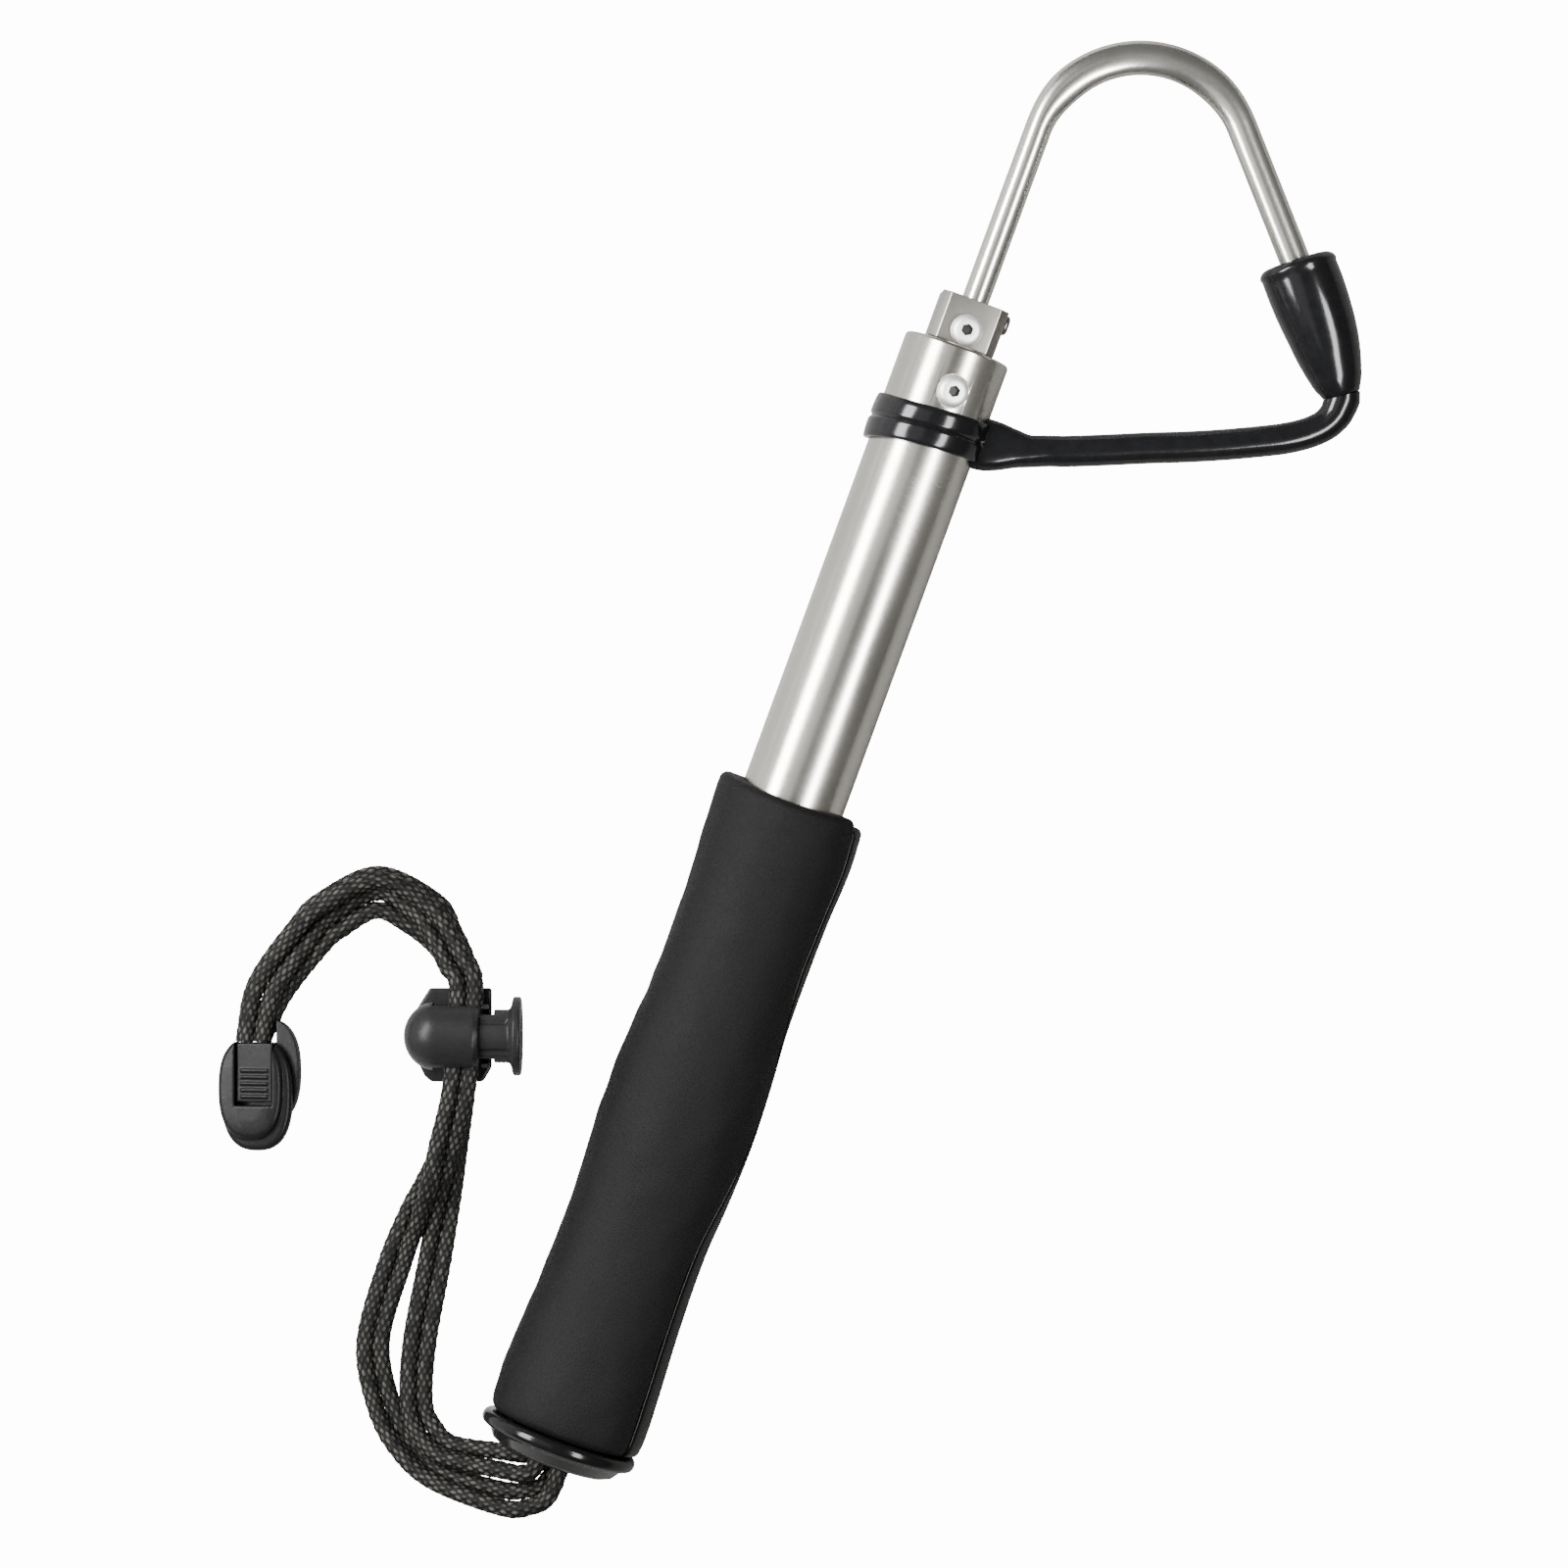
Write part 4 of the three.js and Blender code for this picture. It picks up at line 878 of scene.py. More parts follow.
# Two sizes of screw: the head's radius and height, the shank's radius, the socket's radius and depth
BUTTON_SCREW = (3.8, 2.1, 2, 1.45, 1.2)
SMALL_SCREW = (2.4, 1.0, 1.5, 1.0, 0.6)
CROWN_FOOT, CROWN_BULGE, CROWN_FLAT, CROWN_STEPS = 0.16, 0.9, 0.46, 10
SHANK_POINT, HEAD_EDGE = 0.3, 0.1
SOCKET_RIM = 0.01


def bow(start, control, end, steps):
    """Stations on the curve from start to end that a control point draws out"""
    return [
        tuple(a * (1 - t) ** 2 + 2 * b * t * (1 - t) + c * t * t for a, b, c in zip(start, control, end))
        for t in (i / steps for i in range(steps + 1))]


def add_screw(node, name, size, reach, place, metal):
    """A button head screw along Y, with its hexagon socket"""
    head, height, shank, socket, depth = size
    crown = bow(
        (head, height * CROWN_FOOT), (head * CROWN_BULGE, height), (head * CROWN_FLAT, height), CROWN_STEPS)
    piece = turned(name, [
        (0, -reach), (shank - SHANK_POINT, -reach), (shank, SHANK_POINT - reach), (shank, 0),
        (head - HEAD_EDGE, 0), (head, HEAD_EDGE), *crown, (0, height)], SMALL_SIDES)
    bpy.ops.object.select_all(action="DESELECT")
    bpy.ops.mesh.primitive_cylinder_add(
        vertices=6, radius=socket, depth=depth * 2, location=(0, height, 0), rotation=(math.pi / 2, 0, 0))
    cut(piece, named("socket"))
    # Marks the socket's faces, which the screw finish paints dark as shade in the recess
    shade = piece.data.attributes.new("socket", "FLOAT", "FACE")
    shade.data.foreach_set("value", [
        float(0 < face.center.y < height - SOCKET_RIM and math.hypot(face.center.x, face.center.z) < socket)
        for face in piece.data.polygons])
    moved(piece, place)
    dress(smooth(piece), metal, "head", "screw_steel", node)


def add_collar():
    """The collar, with a flat for its screw"""
    radius, foot, top = measured("head_collar")
    piece = turned("collar_shell", [
        (COLLAR_BORE, foot), (radius - COLLAR_EDGE, foot), (radius, foot + COLLAR_EDGE),
        (radius, top - COLLAR_ROUND),
        *arc((radius - COLLAR_ROUND, top - COLLAR_ROUND), COLLAR_ROUND, 10, 90, 7),
        (WIRE_HOLE + HOLE_EDGE, top), (WIRE_HOLE, top - HOLE_EDGE), (WIRE_HOLE, COLLAR_SHOULDER),
        (COLLAR_BORE, COLLAR_SHOULDER), (COLLAR_BORE, foot)])
    seat = around_collar(COLLAR_FLAT)
    cut(piece, pin("flat", BUTTON_SCREW[0] + SEAT_GAP, 0, FLAT_CUT, seat))
    cut(piece, pin("hole", SCREW_HOLE, -HOLE_CUT, OVERRUN, seat))
    dress(smooth(piece), HEAD_STEEL, "head", "head_steel", "head_collar")
    reach = COLLAR_SEAT - measured("inner_tube")[0] + TUBE_WALL + SCREW_END
    place = around_collar(COLLAR_SEAT)
    add_screw("collar_screw", "collar_button_screw", BUTTON_SCREW, reach, place, SCREW_STEEL)


def add_block():
    """The square block on the collar, with bevelled corners, and the two screws that hold the hook in it"""
    _, foot, top = measured("hook_block")
    half = BLOCK_HALF
    piece = box_of("wire_block", (-half, foot, -half), (half, top, half))
    with editing(piece):
        bpy.ops.mesh.select_all(action="DESELECT")
        mesh = bmesh.from_edit_mesh(piece.data)
        for edge in mesh.edges:
            low, high = sorted(vertex.co.y for vertex in edge.verts)
            edge.select = high - low > half  # the four upright edges
        bmesh.update_edit_mesh(piece.data)
        bpy.ops.mesh.bevel(offset=BLOCK_BEVEL, segments=1)
    bevelled(piece, BLOCK_EDGE)
    cut(piece, turned("bore", [
        (0, foot - OVERRUN), (WIRE_HOLE, foot - OVERRUN), (WIRE_HOLE, top - BLOCK_MOUTH),
        (WIRE_HOLE + 2 * BLOCK_MOUTH, top + BLOCK_MOUTH), (0, top + BLOCK_MOUTH)], SMALL_SIDES))
    screws = [
        ("block_front_screw", "front_button_screw", BUTTON_SCREW, SCREW_HOLE, SCREW_STEEL,
         shift(0, foot + BLOCK_FRONT_SCREW, 0) @ spun(90, "X")),
        ("block_side_screw", "side_cap_screw", SMALL_SCREW, SIDE_SCREW_HOLE, DARK_SCREW_STEEL,
         shift(0, foot + BLOCK_SIDE_SCREW, 0) @ spun(-90, "Z"))]
    for *_, hole, _, place in screws:
        cut(piece, pin("screw hole", hole, 0, half + OVERRUN, place))
    turn = spun(BLOCK_TURN, "Y")
    moved(piece, turn)
    dress(smooth(piece, BLOCK_DEGREES), BLOCK_STEEL, "head", "head_steel", "hook_block")
    seat = half + SEAT_GAP
    for node, name, size, _, metal, place in screws:
        add_screw(node, name, size, seat - WIRE_HOLE, turn @ place @ shift(0, seat, 0), metal)


# The hook: a straight shank, an arc and a straight leg that runs into a point
WIRE_WIDTH, WIRE_EDGE = 6.5, 0.3
SHANK_HEIGHTS = (287.6, 300, 312)
SHANK_BLEND, BLEND_STEPS = 9, 7
BEND_WIDTH, BEND_THICKNESS = 8.2, 6.0
BEND_RADIUS, BEND_START, BEND_ANGLE = 25.8, 331.2, math.radians(138.3)
BEND_STEPS, BEND_FILLING = 64, 4.5
LEG_WIDTH, LEG_LENGTH = 7.3, 54.2
POINT_WIDTH, POINT_TAPER = 0.6, 18
POINT_STEPS, POINT_POWER = 12, 1.9
BEND_OUT = Vector((-math.cos(BEND_ANGLE), math.sin(BEND_ANGLE), 0))
LEG_HEADING = Vector((BEND_OUT.y, -BEND_OUT.x, 0))
LEG_START = Vector((BEND_RADIUS, BEND_START, 0)) + BEND_OUT * BEND_RADIUS
LEG_STOPS = (6, 14, 22, 30, LEG_LENGTH - POINT_TAPER)
ROD_DEGREES = 40


def hook_stations():
    """Stations from the hook's foot in the collar to its point, each a place, a width and a thickness"""
    foot = span("hook_wire")[0].y
    made = [(0, foot, WIRE_WIDTH - 2 * WIRE_EDGE, WIRE_WIDTH - 2 * WIRE_EDGE)]
    heights = [foot + WIRE_EDGE, *SHANK_HEIGHTS]
    heights += [BEND_START - SHANK_BLEND * (1 - i / BLEND_STEPS) for i in range(1, BLEND_STEPS)]
    made += [(0, height, WIRE_WIDTH, WIRE_WIDTH) for height in heights]
    for i in range(BEND_STEPS + 1):
        share = i / BEND_STEPS
        angle = math.pi - BEND_ANGLE * share
        fullness = eased(min(1, share * BEND_FILLING, (1 - share) * BEND_FILLING))
        ends = WIRE_WIDTH if share < 0.5 else LEG_WIDTH
        made.append((
            BEND_RADIUS + BEND_RADIUS * math.cos(angle), BEND_START + BEND_RADIUS * math.sin(angle),
            ends + (BEND_WIDTH - ends) * fullness, WIRE_WIDTH + (BEND_THICKNESS - WIRE_WIDTH) * fullness))
    for distance in LEG_STOPS:
        place = LEG_START + LEG_HEADING * distance
        made.append((place.x, place.y, LEG_WIDTH, WIRE_WIDTH))
    for i in range(1, POINT_STEPS + 1):
        share = i / POINT_STEPS
        fullness = 1 - share ** POINT_POWER
        place = LEG_START + LEG_HEADING * (LEG_LENGTH - POINT_TAPER * (1 - share))
        made.append((place.x, place.y, *(
            POINT_WIDTH + (full - POINT_WIDTH) * fullness for full in (LEG_WIDTH, WIRE_WIDTH))))
    return made


def add_hook():
    """The bent rod of the hook"""
    piece = swept("hook_rod", hook_stations())
    dress(smooth(piece, ROD_DEGREES), HOOK_STEEL, "head", "hook_steel", "hook_wire")


# Guard: a ring with two ribs round the collar's foot, a round strap and the cap over the hook's point
RING_RADIUS, RING_MIDDLE = 14.35, 255.6
RING_BORE, RING_FOOT_BORE, RING_STEP = 13.0, 12.65, 253.6
RING_STOCK, RING_CUT = 0.4, (240, 275)
RING_SPREAD, SPREAD_POWER, RING_TILT = 0.22, 3, math.radians(4.5)
RING_DEGREES = 35
STRAP_SIDES, STRAP_STEPS = 96, 5
ROOT_END, ROOT_LENGTH, ROOT_POWER = 30, 14, 0.55
CAP_LEAN = math.radians(38)

# The lower half of the ring's outside: a height from its middle, and the radius there
RING_PROFILE = [
    (-4.7, 13.55), (-4.58, 13.85), (-4.2, 14.08), (-3.4, 14.22), (-2.2, 14.32), (-1.3, RING_RADIUS),
    (-0.8, RING_RADIUS), (-0.5, 14.22), (-0.3, 13.95), (0, 13.82),
]

# The strap's line, each an X, a Y, a width in the hook's plane and a thickness across it
STRAP_LINE = [
    (11.9, 256.9, 12.6, 9.4), (13.0, 256.9, 12.5, 9.2), (14.0, 257.0, 12.3, 9.1), (15.5, 257.3, 11.9, 8.9),
    (17.5, 257.7, 11.1, 8.6), (20.8, 258.4, 9.2, 8.1),
    (24.15, 259.1, 7.7, 7.7), (28.4, 260.7, 7.4, 7.4), (32.86, 262.27, 7.4, 7.4),
    (41.44, 265.76, 7.4, 7.4), (49.98, 269.34, 7.4, 7.4), (58.58, 272.79, 7.4, 7.4),
    (67.07, 276.47, 7.4, 7.4), (75.45, 280.44, 7.4, 7.4), (80.2, 282.9, 7.4, 7.4),
    (84.4, 285.7, 7.4, 7.4), (87.5, 288.7, 7.5, 7.4), (89.05, 291.7, 7.9, 7.6),
    (89.35, 293.6, 8.2, 7.8), (89.4, 295.2, 8.5, 8.0), (89.3, 296.7, 8.7, 8.2),
]


def square_off(vertex):
    """Gives the strap's root a squarish section, flat on top, that gets round along the strap."""
    if vertex.co.x > ROOT_END:
        return
    middle, width, thickness = followed(STRAP_LINE, vertex.co.x)
    across, up = (vertex.co.y - middle) * 2 / width, vertex.co.z * 2 / thickness
    reach = math.hypot(across, up)
    if reach > 0:
        share = min(1, (ROOT_END - vertex.co.x) / ROOT_LENGTH)
        power = 1 - (1 - ROOT_POWER) * eased(share)
        across, up = (reach * math.copysign(abs(part / reach) ** power, part) for part in (across, up))
        vertex.co.y, vertex.co.z = middle + across * width / 2, up * thickness / 2


def add_strap():
    """The ring and the strap, moulded in one"""
    profile = RING_PROFILE + [(-height, radius) for height, radius in reversed(RING_PROFILE[:-1])]
    low, inside = RING_PROFILE[0][0], RING_FOOT_BORE - RING_STOCK
    ring = turned("guard_strap", [
        (radius, RING_MIDDLE + height)
        for height, radius in [(low, inside), *profile, (-low, inside), (low, inside)]], RING_SIDES)
    strap = swept("strap", spline(STRAP_LINE, STRAP_STEPS), STRAP_SIDES, CAP_LEAN)
    for vertex in strap.data.vertices:
        square_off(vertex)
    for vertex in ring.data.vertices:
        spread = 1 + RING_SPREAD * max(0, -vertex.co.x / RING_RADIUS) ** SPREAD_POWER
        vertex.co.y = RING_MIDDLE + (vertex.co.y - RING_MIDDLE) * spread + vertex.co.x * math.tan(RING_TILT)
    join(ring, strap)
    foot, top = RING_CUT
    cut(ring, turned("bore", [
        (0, foot), (RING_FOOT_BORE, foot), (RING_FOOT_BORE, RING_STEP), (RING_BORE, RING_STEP),
        (RING_BORE, top), (0, top)], RING_SIDES))
    smooth(ring, RING_DEGREES)
    dress(ring, GUARD_VINYL, None, "guard_vinyl", "guard_ring", "guard_arm")
    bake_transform(ring)


CAP_LENGTH, CAP_WALL, CAP_SOCKET = 33.8, 1.6, 26
CAP_FOOT_RADIUS, CAP_MOUTH_RADIUS = 4.1, 8.7
CAP_EDGE, CAP_RIM_ROUND, CAP_CORE = 0.3, 2.0, 0.5
CAP_MOUTH_STEP, CAP_MOUTH_DEPTHS = 0.6, (0.4, 1.5)
CAP_HEIGHTS = [1.2 + i * 1.5 for i in range(21)]
CAP_RIDGE, RIDGE_ANGLE, RIDGE_WIDTH, RIDGE_POWER = 0.22, -47, 2.4, 0.4
CAP_FOOT = (89.0, 296.6, 0)

# How far the cap's right and left sides stand out beyond a straight cone, at shares of its length
CAP_SWELL = [
    (0, 0.5, 0), (0.1, 1.6, 1.1), (0.29, 2.4, 1.8), (0.46, 2.5, 1.9), (0.64, 2.0, 1.9), (0.8, 1.25, 1.6),
    (1, 0, 1.0),
]


def cap_side(height):
    """The radius of the straight cone that the cap swells out of"""
    return CAP_FOOT_RADIUS + (CAP_MOUTH_RADIUS - CAP_FOOT_RADIUS) / CAP_LENGTH * height


def add_guard_cap():
    """The cap over the hook's point: a hollow cone that swells, with a faint ridge along it"""
    floor = CAP_LENGTH - CAP_SOCKET
    rim = cap_side(CAP_LENGTH) - CAP_RIM_ROUND
    piece = turned("guard_cap", [
        (0, 0), (CAP_FOOT_RADIUS - CAP_EDGE, 0), (CAP_FOOT_RADIUS, CAP_EDGE),
        *((cap_side(height), height) for height in CAP_HEIGHTS),
        *arc((rim, CAP_LENGTH - CAP_RIM_ROUND), CAP_RIM_ROUND, 5, 85, 10), (rim - CAP_EDGE, CAP_LENGTH),
        *((rim - CAP_MOUTH_STEP, CAP_LENGTH - depth) for depth in CAP_MOUTH_DEPTHS),
        (cap_side(floor) - CAP_WALL, floor), (0, floor)])
    for vertex in piece.data.vertices:
        share = min(1, max(0, vertex.co.y / CAP_LENGTH))
        side = cap_side(vertex.co.y)
        right, left = followed(CAP_SWELL, share)
        swell, aside = (right + left) / 2, (right - left) / 2
        out = Vector((vertex.co.x, 0, vertex.co.z))
        radius = out.length
        if radius > CAP_CORE:
            off = (math.degrees(math.atan2(out.x, out.z)) - RIDGE_ANGLE) / RIDGE_WIDTH
            ridge = CAP_RIDGE * math.exp(-off ** 2) if radius > side - CAP_EDGE else 0
            out *= 1 + (swell + ridge * math.sin(math.pi * share) ** RIDGE_POWER) / side
        vertex.co.x, vertex.co.z = out.x + aside, out.z
    moved(piece, shift(*CAP_FOOT) @ Matrix.Rotation(CAP_LEAN, 4, "Z"))
    dress(smooth(piece, ROD_DEGREES), GUARD_VINYL, "guard", "guard_vinyl", "guard_cone")


# Cord lock: a ball with two ears, and a sprung stem. Its X runs from the ball to the stem's flange.
FITTING_TURN = spun(20.1, "Z")
LOCK_FLOOR = -9.7
LOCK_PLACE = shift(-59.3, 81, FLOOR - LOCK_FLOOR) @ FITTING_TURN
ALONG_LOCK = spun(-90, "Z")
BALL_HEIGHT, BALL_WIDTH = 8.4, 8.2
DOME_FOOT, DOME_LENGTH, DOME_STEPS = -1, 7.8, 24
BALL_SHOULDER, NECK_FOOT, NECK_RADIUS, BALL_MOUTH = 8.0, 9.2, 7.8, 11.4
BALL_GRAIN, BALL_ROUNDS = 0.25, 6
EAR_SHARES = [(0.28, 1), (0, 0.17), (0, 0), (0.22, -0.87), (0.3, -1), (0.9, -1), (1, -0.7), (1, 1)]
EAR_LEFT, EAR_RIGHT, EAR_REACH = -8.8, 11.8, 11.2
EAR_LOW, EAR_HIGH, EAR_EDGE = 1.5, 4.6, 0.5
CORD_SLOT = (0.9, 9.7, -5.15, 3.5)
SLOT_SPARE, SLOT_REACH = 0.6, 13
OPEN_MOUTH = (9.3, -12, 2.5), (13, 12, 12)
STEM_TRAVEL, STEM_RADIUS, STEM_HEEL = 2.5, 6.5, 2.1
STEM_BORE, BORE_TOP = 6.9, 12
STEM_RIB, STEM_SHOULDER, STEM_NECK, STEM_CUT = 2.9, 4.7, 2.2, 9
STEM_GRAIN, STEM_ROUNDS = 0.2, 3
SPRING_BORE, SPRING_FLOOR = 4.2, -6.8
COIL_START, COIL_LENGTH, COIL_RADIUS, COIL_WIRE = -6.15, 1.9, 3.1, 0.35
COIL_TURNS, COIL_STEPS = 2, 24

# The outside of the stem's flange: a radius, and a height over the stem's shoulder
FLANGE_PROFILE = [
    (0, 1.2), (5.6, 1.2), (6.2, 2.0), (7.2, 2.6), (8.6, 2.9), (9.2, 3.1), (9.4, 3.4), (9.4, 4.6), (9.1, 5.0),
    (0, 5.0),
]


def plate(name, outline, low, high):
    """A plate from an outline in the XY plane, between two heights"""
    piece = mesh_piece(name, [(x, y, low) for x, y in outline], [tuple(range(len(outline)))])
    with editing(piece):
        bpy.ops.mesh.extrude_region_move(TRANSFORM_OT_translate={"value": (0, 0, high - low)})
        face_outwards()
    return piece


def flattened(piece):
    """Makes a round part of the lock as flat as the ball is."""
    for vertex in piece.data.vertices:
        vertex.co.y *= BALL_WIDTH / BALL_HEIGHT
    return piece


def cast(piece, grain, rounds, place, material, body, node):
    """Brings a moulded piece to its place, as one skin with soft edges."""
    moved(moulded(piece, grain, rounds), place)
    return dress(smooth(piece, SKIN_DEGREES), material, body, "black_moulded", node)


def add_lock():
    """The ball, hollow for the stem and its spring, with its two ears"""
    quarter = [math.pi / 2 * i / DOME_STEPS for i in range(DOME_STEPS + 1)]
    ball = flattened(turned("lock_ball", [
        *((BALL_HEIGHT * math.sin(a), DOME_FOOT - DOME_LENGTH * math.cos(a)) for a in quarter),
        (BALL_HEIGHT, BALL_SHOULDER), (NECK_RADIUS, NECK_FOOT), (NECK_RADIUS, BALL_MOUTH), (0, BALL_MOUTH)],
        TURNED_SIDES, ALONG_LOCK))
    width = EAR_RIGHT - EAR_LEFT
    outline = [(EAR_LEFT + width * across, EAR_REACH * along) for across, along in EAR_SHARES]
    join(ball, bevelled(plate("ears", outline, LOCK_FLOOR + EAR_LOW, LOCK_FLOOR + EAR_HIGH), EAR_EDGE, 2))
    left, right, low, high = CORD_SLOT
    foot = left - STEM_HEEL - STEM_TRAVEL - SEAT_GAP
    cut(ball, flattened(pin("bore", STEM_BORE, foot, BORE_TOP, ALONG_LOCK)))
    cut(ball, pin("spring bore", SPRING_BORE, SPRING_FLOOR, 0, ALONG_LOCK))
    cut(ball, box_of("slot", (left - STEM_TRAVEL, -SLOT_REACH, low), (right, SLOT_REACH, high)))
    cut(ball, box_of("open mouth", *OPEN_MOUTH))
    return cast(ball, BALL_GRAIN, BALL_ROUNDS, LOCK_PLACE, LOCK_MOULDING, "handle", "cord_lock_body")


def add_stem():
    """The ribbed stem, with its slot for the cords and its flange"""
    left, right, low, high = CORD_SLOT
    foot = left - STEM_HEEL
    shoulder = BALL_MOUTH + STEM_TRAVEL + SEAT_GAP
    face = shoulder + STEM_NECK
    stem = flattened(pin("lock_stem", STEM_RADIUS, foot, face, ALONG_LOCK, TURNED_SIDES))
    for near, far in ((-STEM_CUT, -STEM_RIB), (STEM_RIB, STEM_CUT)):
        cut(stem, box_of("shoulder", (foot - OVERRUN, near, STEM_SHOULDER), (face + OVERRUN, far, STEM_CUT)))
    end = right + STEM_TRAVEL + SLOT_SPARE
    cut(stem, box_of("slot", (left, -SLOT_REACH, low), (end, SLOT_REACH, high)))
    flange = [(radius, shoulder + height) for radius, height in FLANGE_PROFILE]
    join(stem, turned("flange", flange, TURNED_SIDES, ALONG_LOCK))
    return cast(stem, STEM_GRAIN, STEM_ROUNDS, LOCK_PLACE, LOCK_MOULDING, "plunger", "cord_lock_plunger")


def add_lock_spring():
    """The spring behind the stem"""
    curve = bpy.data.curves.new("lock_coil", "CURVE")
    curve.dimensions = "3D"
    curve.bevel_depth = COIL_WIRE
    curve.bevel_resolution = 4
    curve.use_fill_caps = True
    path = curve.splines.new("POLY")
    path.points.add(COIL_TURNS * COIL_STEPS)
    for i, point in enumerate(path.points):
        angle = 2 * math.pi * i / COIL_STEPS
        along = COIL_START + COIL_LENGTH * i / (COIL_TURNS * COIL_STEPS)
        point.co = (along, COIL_RADIUS * math.cos(angle), COIL_RADIUS * math.sin(angle), 1)
    piece = placed("lock_coil", curve)
    pick(piece)
    bpy.ops.object.convert(target="MESH")
    moved(piece, LOCK_PLACE)
    return dress(smooth(piece, SKIN_DEGREES), SCREW_STEEL, "handle", "screw_steel", "cord_lock_spring")


# Cord clip: two squarish oval shells, one on the other, and a ribbed latch
CLIP_PLACE = shift(-95.9, 52.6, FLOOR + 5.4) @ FITTING_TURN @ spun(-14, "Y")
CLIP_GRAIN, CLIP_ROUNDS = 0.2, 3
OVAL_SIDES, OVAL_POWER = 96, 2 / 2.5
SHELL_ROUND, ROUND_STEPS = 1.3, 6
SHELL_CROWN = [(2.6, 0.12), (4.2, 0.2)]
WINDOW, WINDOW_TOP, WINDOW_DEPTH = (-4.4, 5.1, -2.6), 15, (-1, 6)
BACK_SHIFT, BACK_NOTCH = (1.7, 5.5), ((-20, 9.4, -6), (4.7, 30, 2))
LATCH_FOOT, LATCH_TOP, LATCH_FACE, LATCH_EDGE = 0.9, 12.3, 2.9, 0.25
HEEL_START, HEEL_OUT, HEEL_DEPTH = 9.7, 1, (-3.45, 1)
LATCH_GRAIN, LATCH_ROUNDS = 0.14, 2
LATCH_RIBS, RIB_START, RIB_PITCH, RIB_HEIGHT = 5, 2.2, 1.55, 2.85
RIB_RADIUS, RIB_MARGIN, RIB_SIDES = 0.45, 1.1, 24


def oval(half_width, half_length):
    """Points round a squarish oval"""
    made = []
    for i in range(OVAL_SIDES):
        angle = 2 * math.pi * i / OVAL_SIDES
        made.append(tuple(
            half * math.copysign(abs(part) ** OVAL_POWER, part)
            for half, part in ((half_width, math.cos(angle)), (half_length, math.sin(angle)))))
    return made


def shell(name, half_width, half_length, thickness, aside=(0, 0)):
    """An oval shell with a rounded outer edge and a slightly crowned face, up from Z = 0"""
    rings = [
        (0, 0), *arc((SHELL_ROUND, thickness - SHELL_ROUND), SHELL_ROUND, 180, 90, ROUND_STEPS),
        *((inset, thickness + rise) for inset, rise in SHELL_CROWN)]
    points = [
        (x + aside[0], y + aside[1], height)
        for inset, height in rings for x, y in oval(half_width - inset, half_length - inset)]
    return mesh_piece(name, points, rings_joined(len(rings), OVAL_SIDES))


def add_clip():
    """The front shell with its raised face and window, the back shell and the latch in the window"""
    left, right, foot = WINDOW
    half_gap = SEAT_GAP / 2
    front = shell("clip_front", half_width=8.9, half_length=13.4, thickness=2.4, aside=(0.35, 0))
    join(front, shell("raised face", half_width=8.05, half_length=12.0, thickness=3.9, aside=(-0.65, 1.5)))
    under, over = WINDOW_DEPTH
    cut(front, box_of("window", (left, foot, under), (right, WINDOW_TOP, over)))
    lifted = CLIP_PLACE @ shift(0, 0, half_gap)
    cast(front, CLIP_GRAIN, CLIP_ROUNDS, lifted, CLIP_MOULDING, "handle", "clip_front_shell")
    back = shell("clip_back", half_width=8.7, half_length=12.6, thickness=3.3)
    moved(back, shift(*BACK_SHIFT, -half_gap) @ spun(180, "Y"))
    cut(back, box_of("notch", *BACK_NOTCH))
    cast(back, CLIP_GRAIN, CLIP_ROUNDS, CLIP_PLACE, CLIP_MOULDING, "handle", "clip_back_shell")
    inside, outside = left + SEAT_GAP, right - SEAT_GAP
    latch = box_of("clip_latch", (inside, foot + LATCH_FOOT, half_gap), (outside, LATCH_TOP, LATCH_FACE))
    under, over = HEEL_DEPTH
    join(latch, box_of("heel", (inside - HEEL_OUT, HEEL_START, under), (outside, LATCH_TOP, over)))
    bevelled(latch, LATCH_EDGE)
    for i in range(LATCH_RIBS):
        place = shift(0, foot + RIB_START + RIB_PITCH * i, RIB_HEIGHT) @ ALONG_LOCK
        join(latch, pin("rib", RIB_RADIUS, inside + RIB_MARGIN, outside - RIB_MARGIN, place, RIB_SIDES))
    cast(latch, LATCH_GRAIN, LATCH_ROUNDS, CLIP_PLACE, CLIP_MOULDING, "handle", "clip_tongue")
    return [front, back, latch]


# Floor and studio light, in metres
FLOOR_SIZE, FLOOR_DROP, FLOOR_GLOW = 8, 0.0001, 14
LIGHT_DISTANCE = 1.0


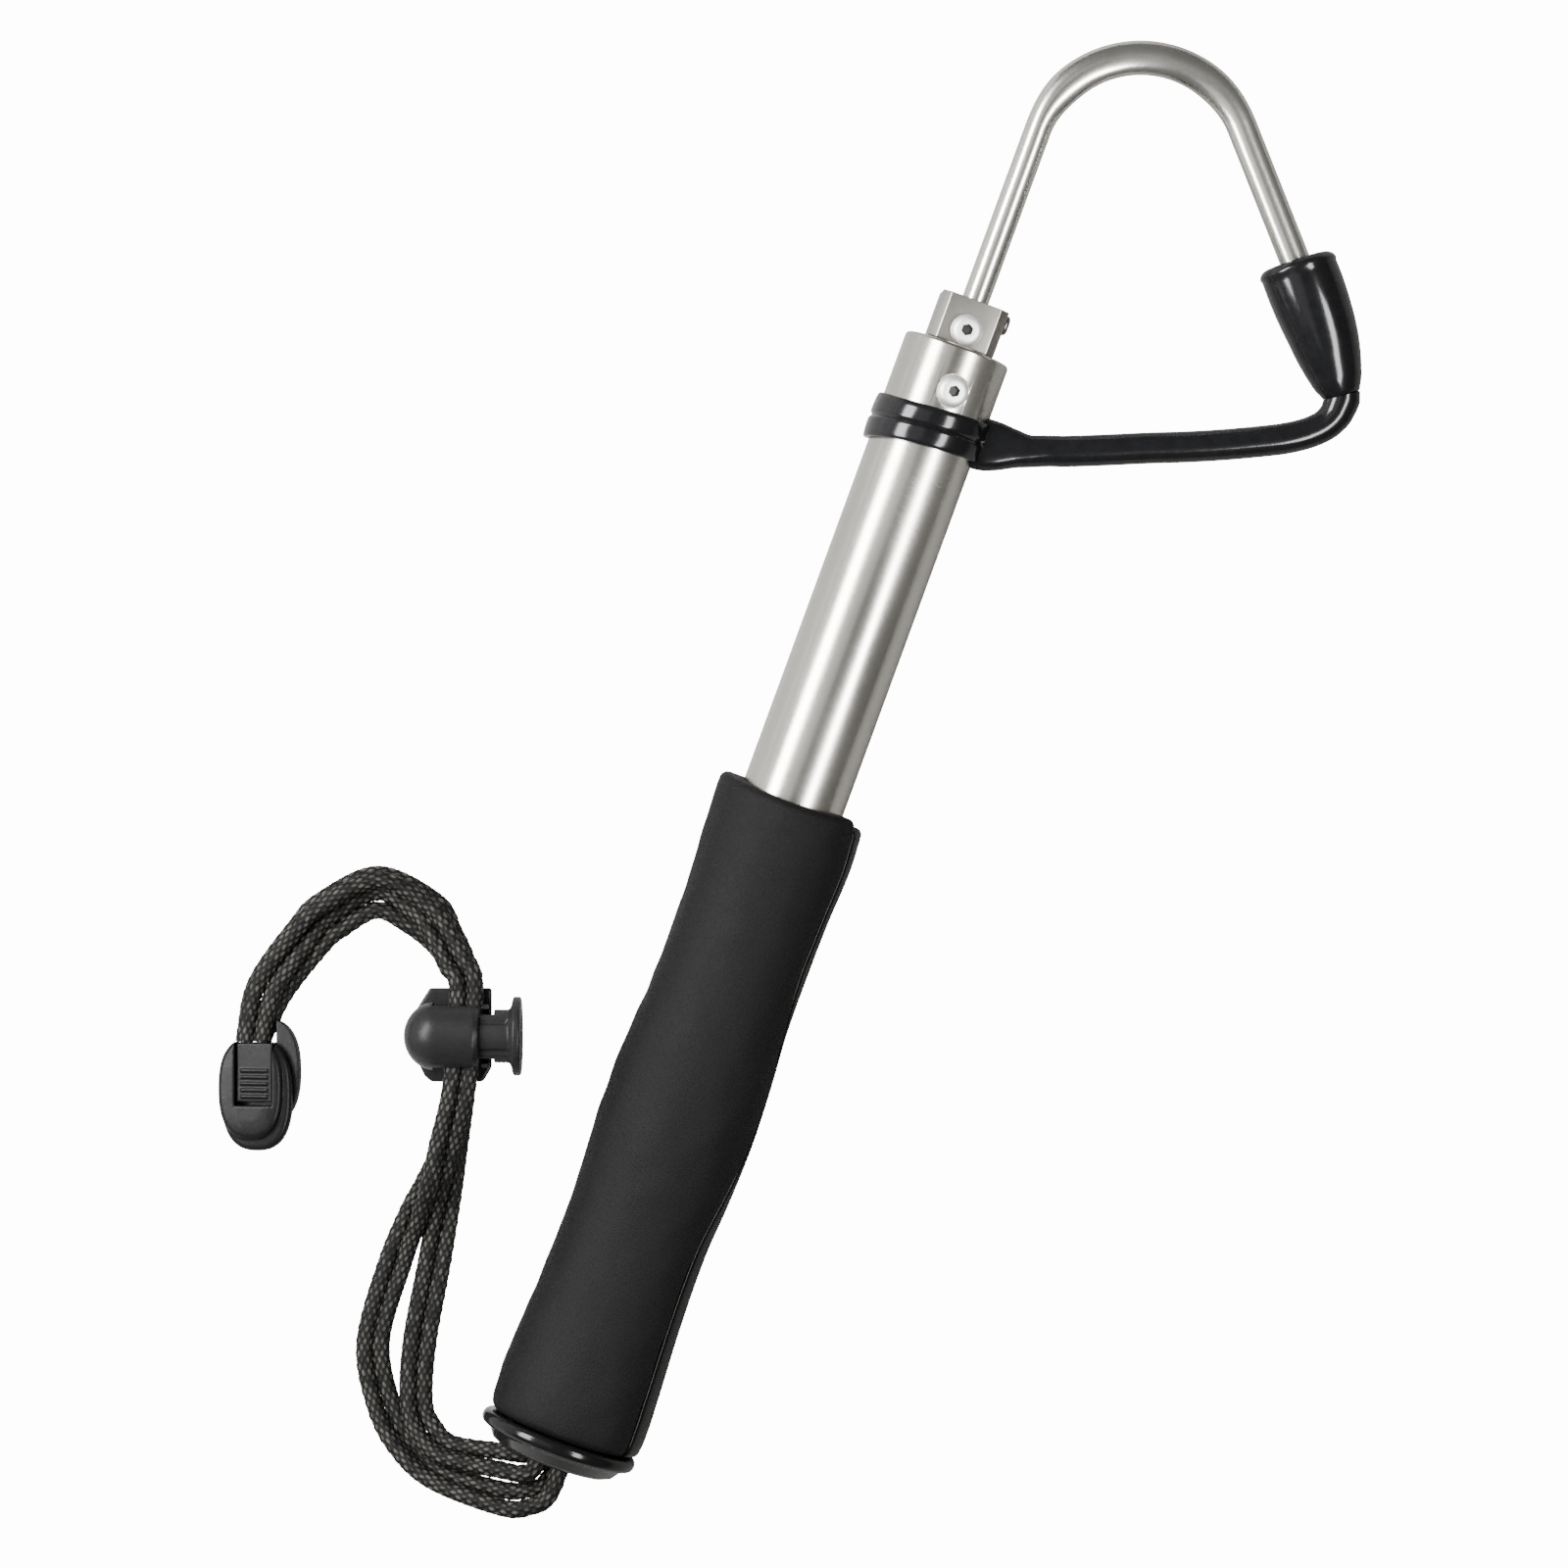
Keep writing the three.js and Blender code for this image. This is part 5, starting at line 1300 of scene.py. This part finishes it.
def add_floor():
    """The floor: white to the camera, and to the gaff a floor with a painted shadow that makes it darker on
    its right
    """
    bpy.ops.object.select_all(action="DESELECT")
    bpy.ops.mesh.primitive_plane_add(size=FLOOR_SIZE, location=(0, 0, -FLOOR_DROP))
    floor = named("studio_floor")
    made = bpy.data.materials.new("pale floor")
    made.use_nodes = True
    tree = made.node_tree
    tree.nodes.clear()
    place = add(tree, "TexCoord", {}).outputs["Object"]
    # Painted shadow: the floor's colour darkens beyond the tube's axis towards +X
    right = add(tree, "SeparateXYZ", {"Vector": place}).outputs["X"]
    share = ranged(tree, right, low=0, high=1, start=tube_axis.x - 0.02, end=tube_axis.x + 0.01)
    tone = shades(tree, share, (0.95, 0.95, 0.93), (0.6, 0.6, 0.58), start=0, end=1)
    matte = add(tree, "BsdfDiffuse", {"Color": tone}).outputs["BSDF"]
    pale = add(tree, "Emission", {"Color": (1, 1, 0.995, 1), "Strength": FLOOR_GLOW}).outputs["Emission"]
    seen = add(tree, "LightPath", {}).outputs["Is Camera Ray"]
    mixed = add(tree, "MixShader", {0: seen, 1: matte, 2: pale}).outputs[0]
    add(tree, "OutputMaterial", {"Surface": mixed})
    floor.data.materials.append(made)


def add_light(name, angle, width, length, power, matte=False, glossy=True):
    """A long soft light parallel to the tube, at an angle from straight above towards +X"""
    data = bpy.data.lights.new(name, "AREA")
    data.shape = "RECTANGLE"
    data.size, data.size_y = width, length
    data.energy = power
    light = placed(name, data)
    tilt = math.radians(angle)
    light.location = (tube_axis.x + LIGHT_DISTANCE * math.sin(tilt), 0, LIGHT_DISTANCE * math.cos(tilt))
    light.rotation_euler.y = tilt
    light.visible_camera = False
    light.visible_diffuse = matte
    light.visible_glossy = glossy


def add_world():
    """The even light of the room"""
    world = bpy.data.worlds.new("studio")
    world.use_nodes = True
    background = world.node_tree.nodes["Background"]
    background.inputs["Color"].default_value = (0.62, 0.62, 0.61, 1)
    background.inputs["Strength"].default_value = 0.32
    bpy.context.scene.world = world


add_camera()
add_floor()
add_world()
add_light("left_strip", angle=-47, width=0.33, length=0.9, power=35)
add_light("right_strip", angle=32, width=0.2, length=0.9, power=20.5)
add_light("left_glow", angle=-16, width=0.36, length=0.9, power=0.7)
add_light("left_side", angle=-80, width=0.4, length=1.6, power=2.2)
add_light("left_soft", angle=-42, width=1.0, length=1.6, power=22, matte=True, glossy=False)
cords = add_cords()
add_knot()
add_tubes()
add_bushes()
add_cap()
add_grip()
add_collar()
add_block()
add_hook()
add_strap()
add_guard_cap()
fittings = [add_lock(), add_stem(), add_lock_spring(), *add_clip()]
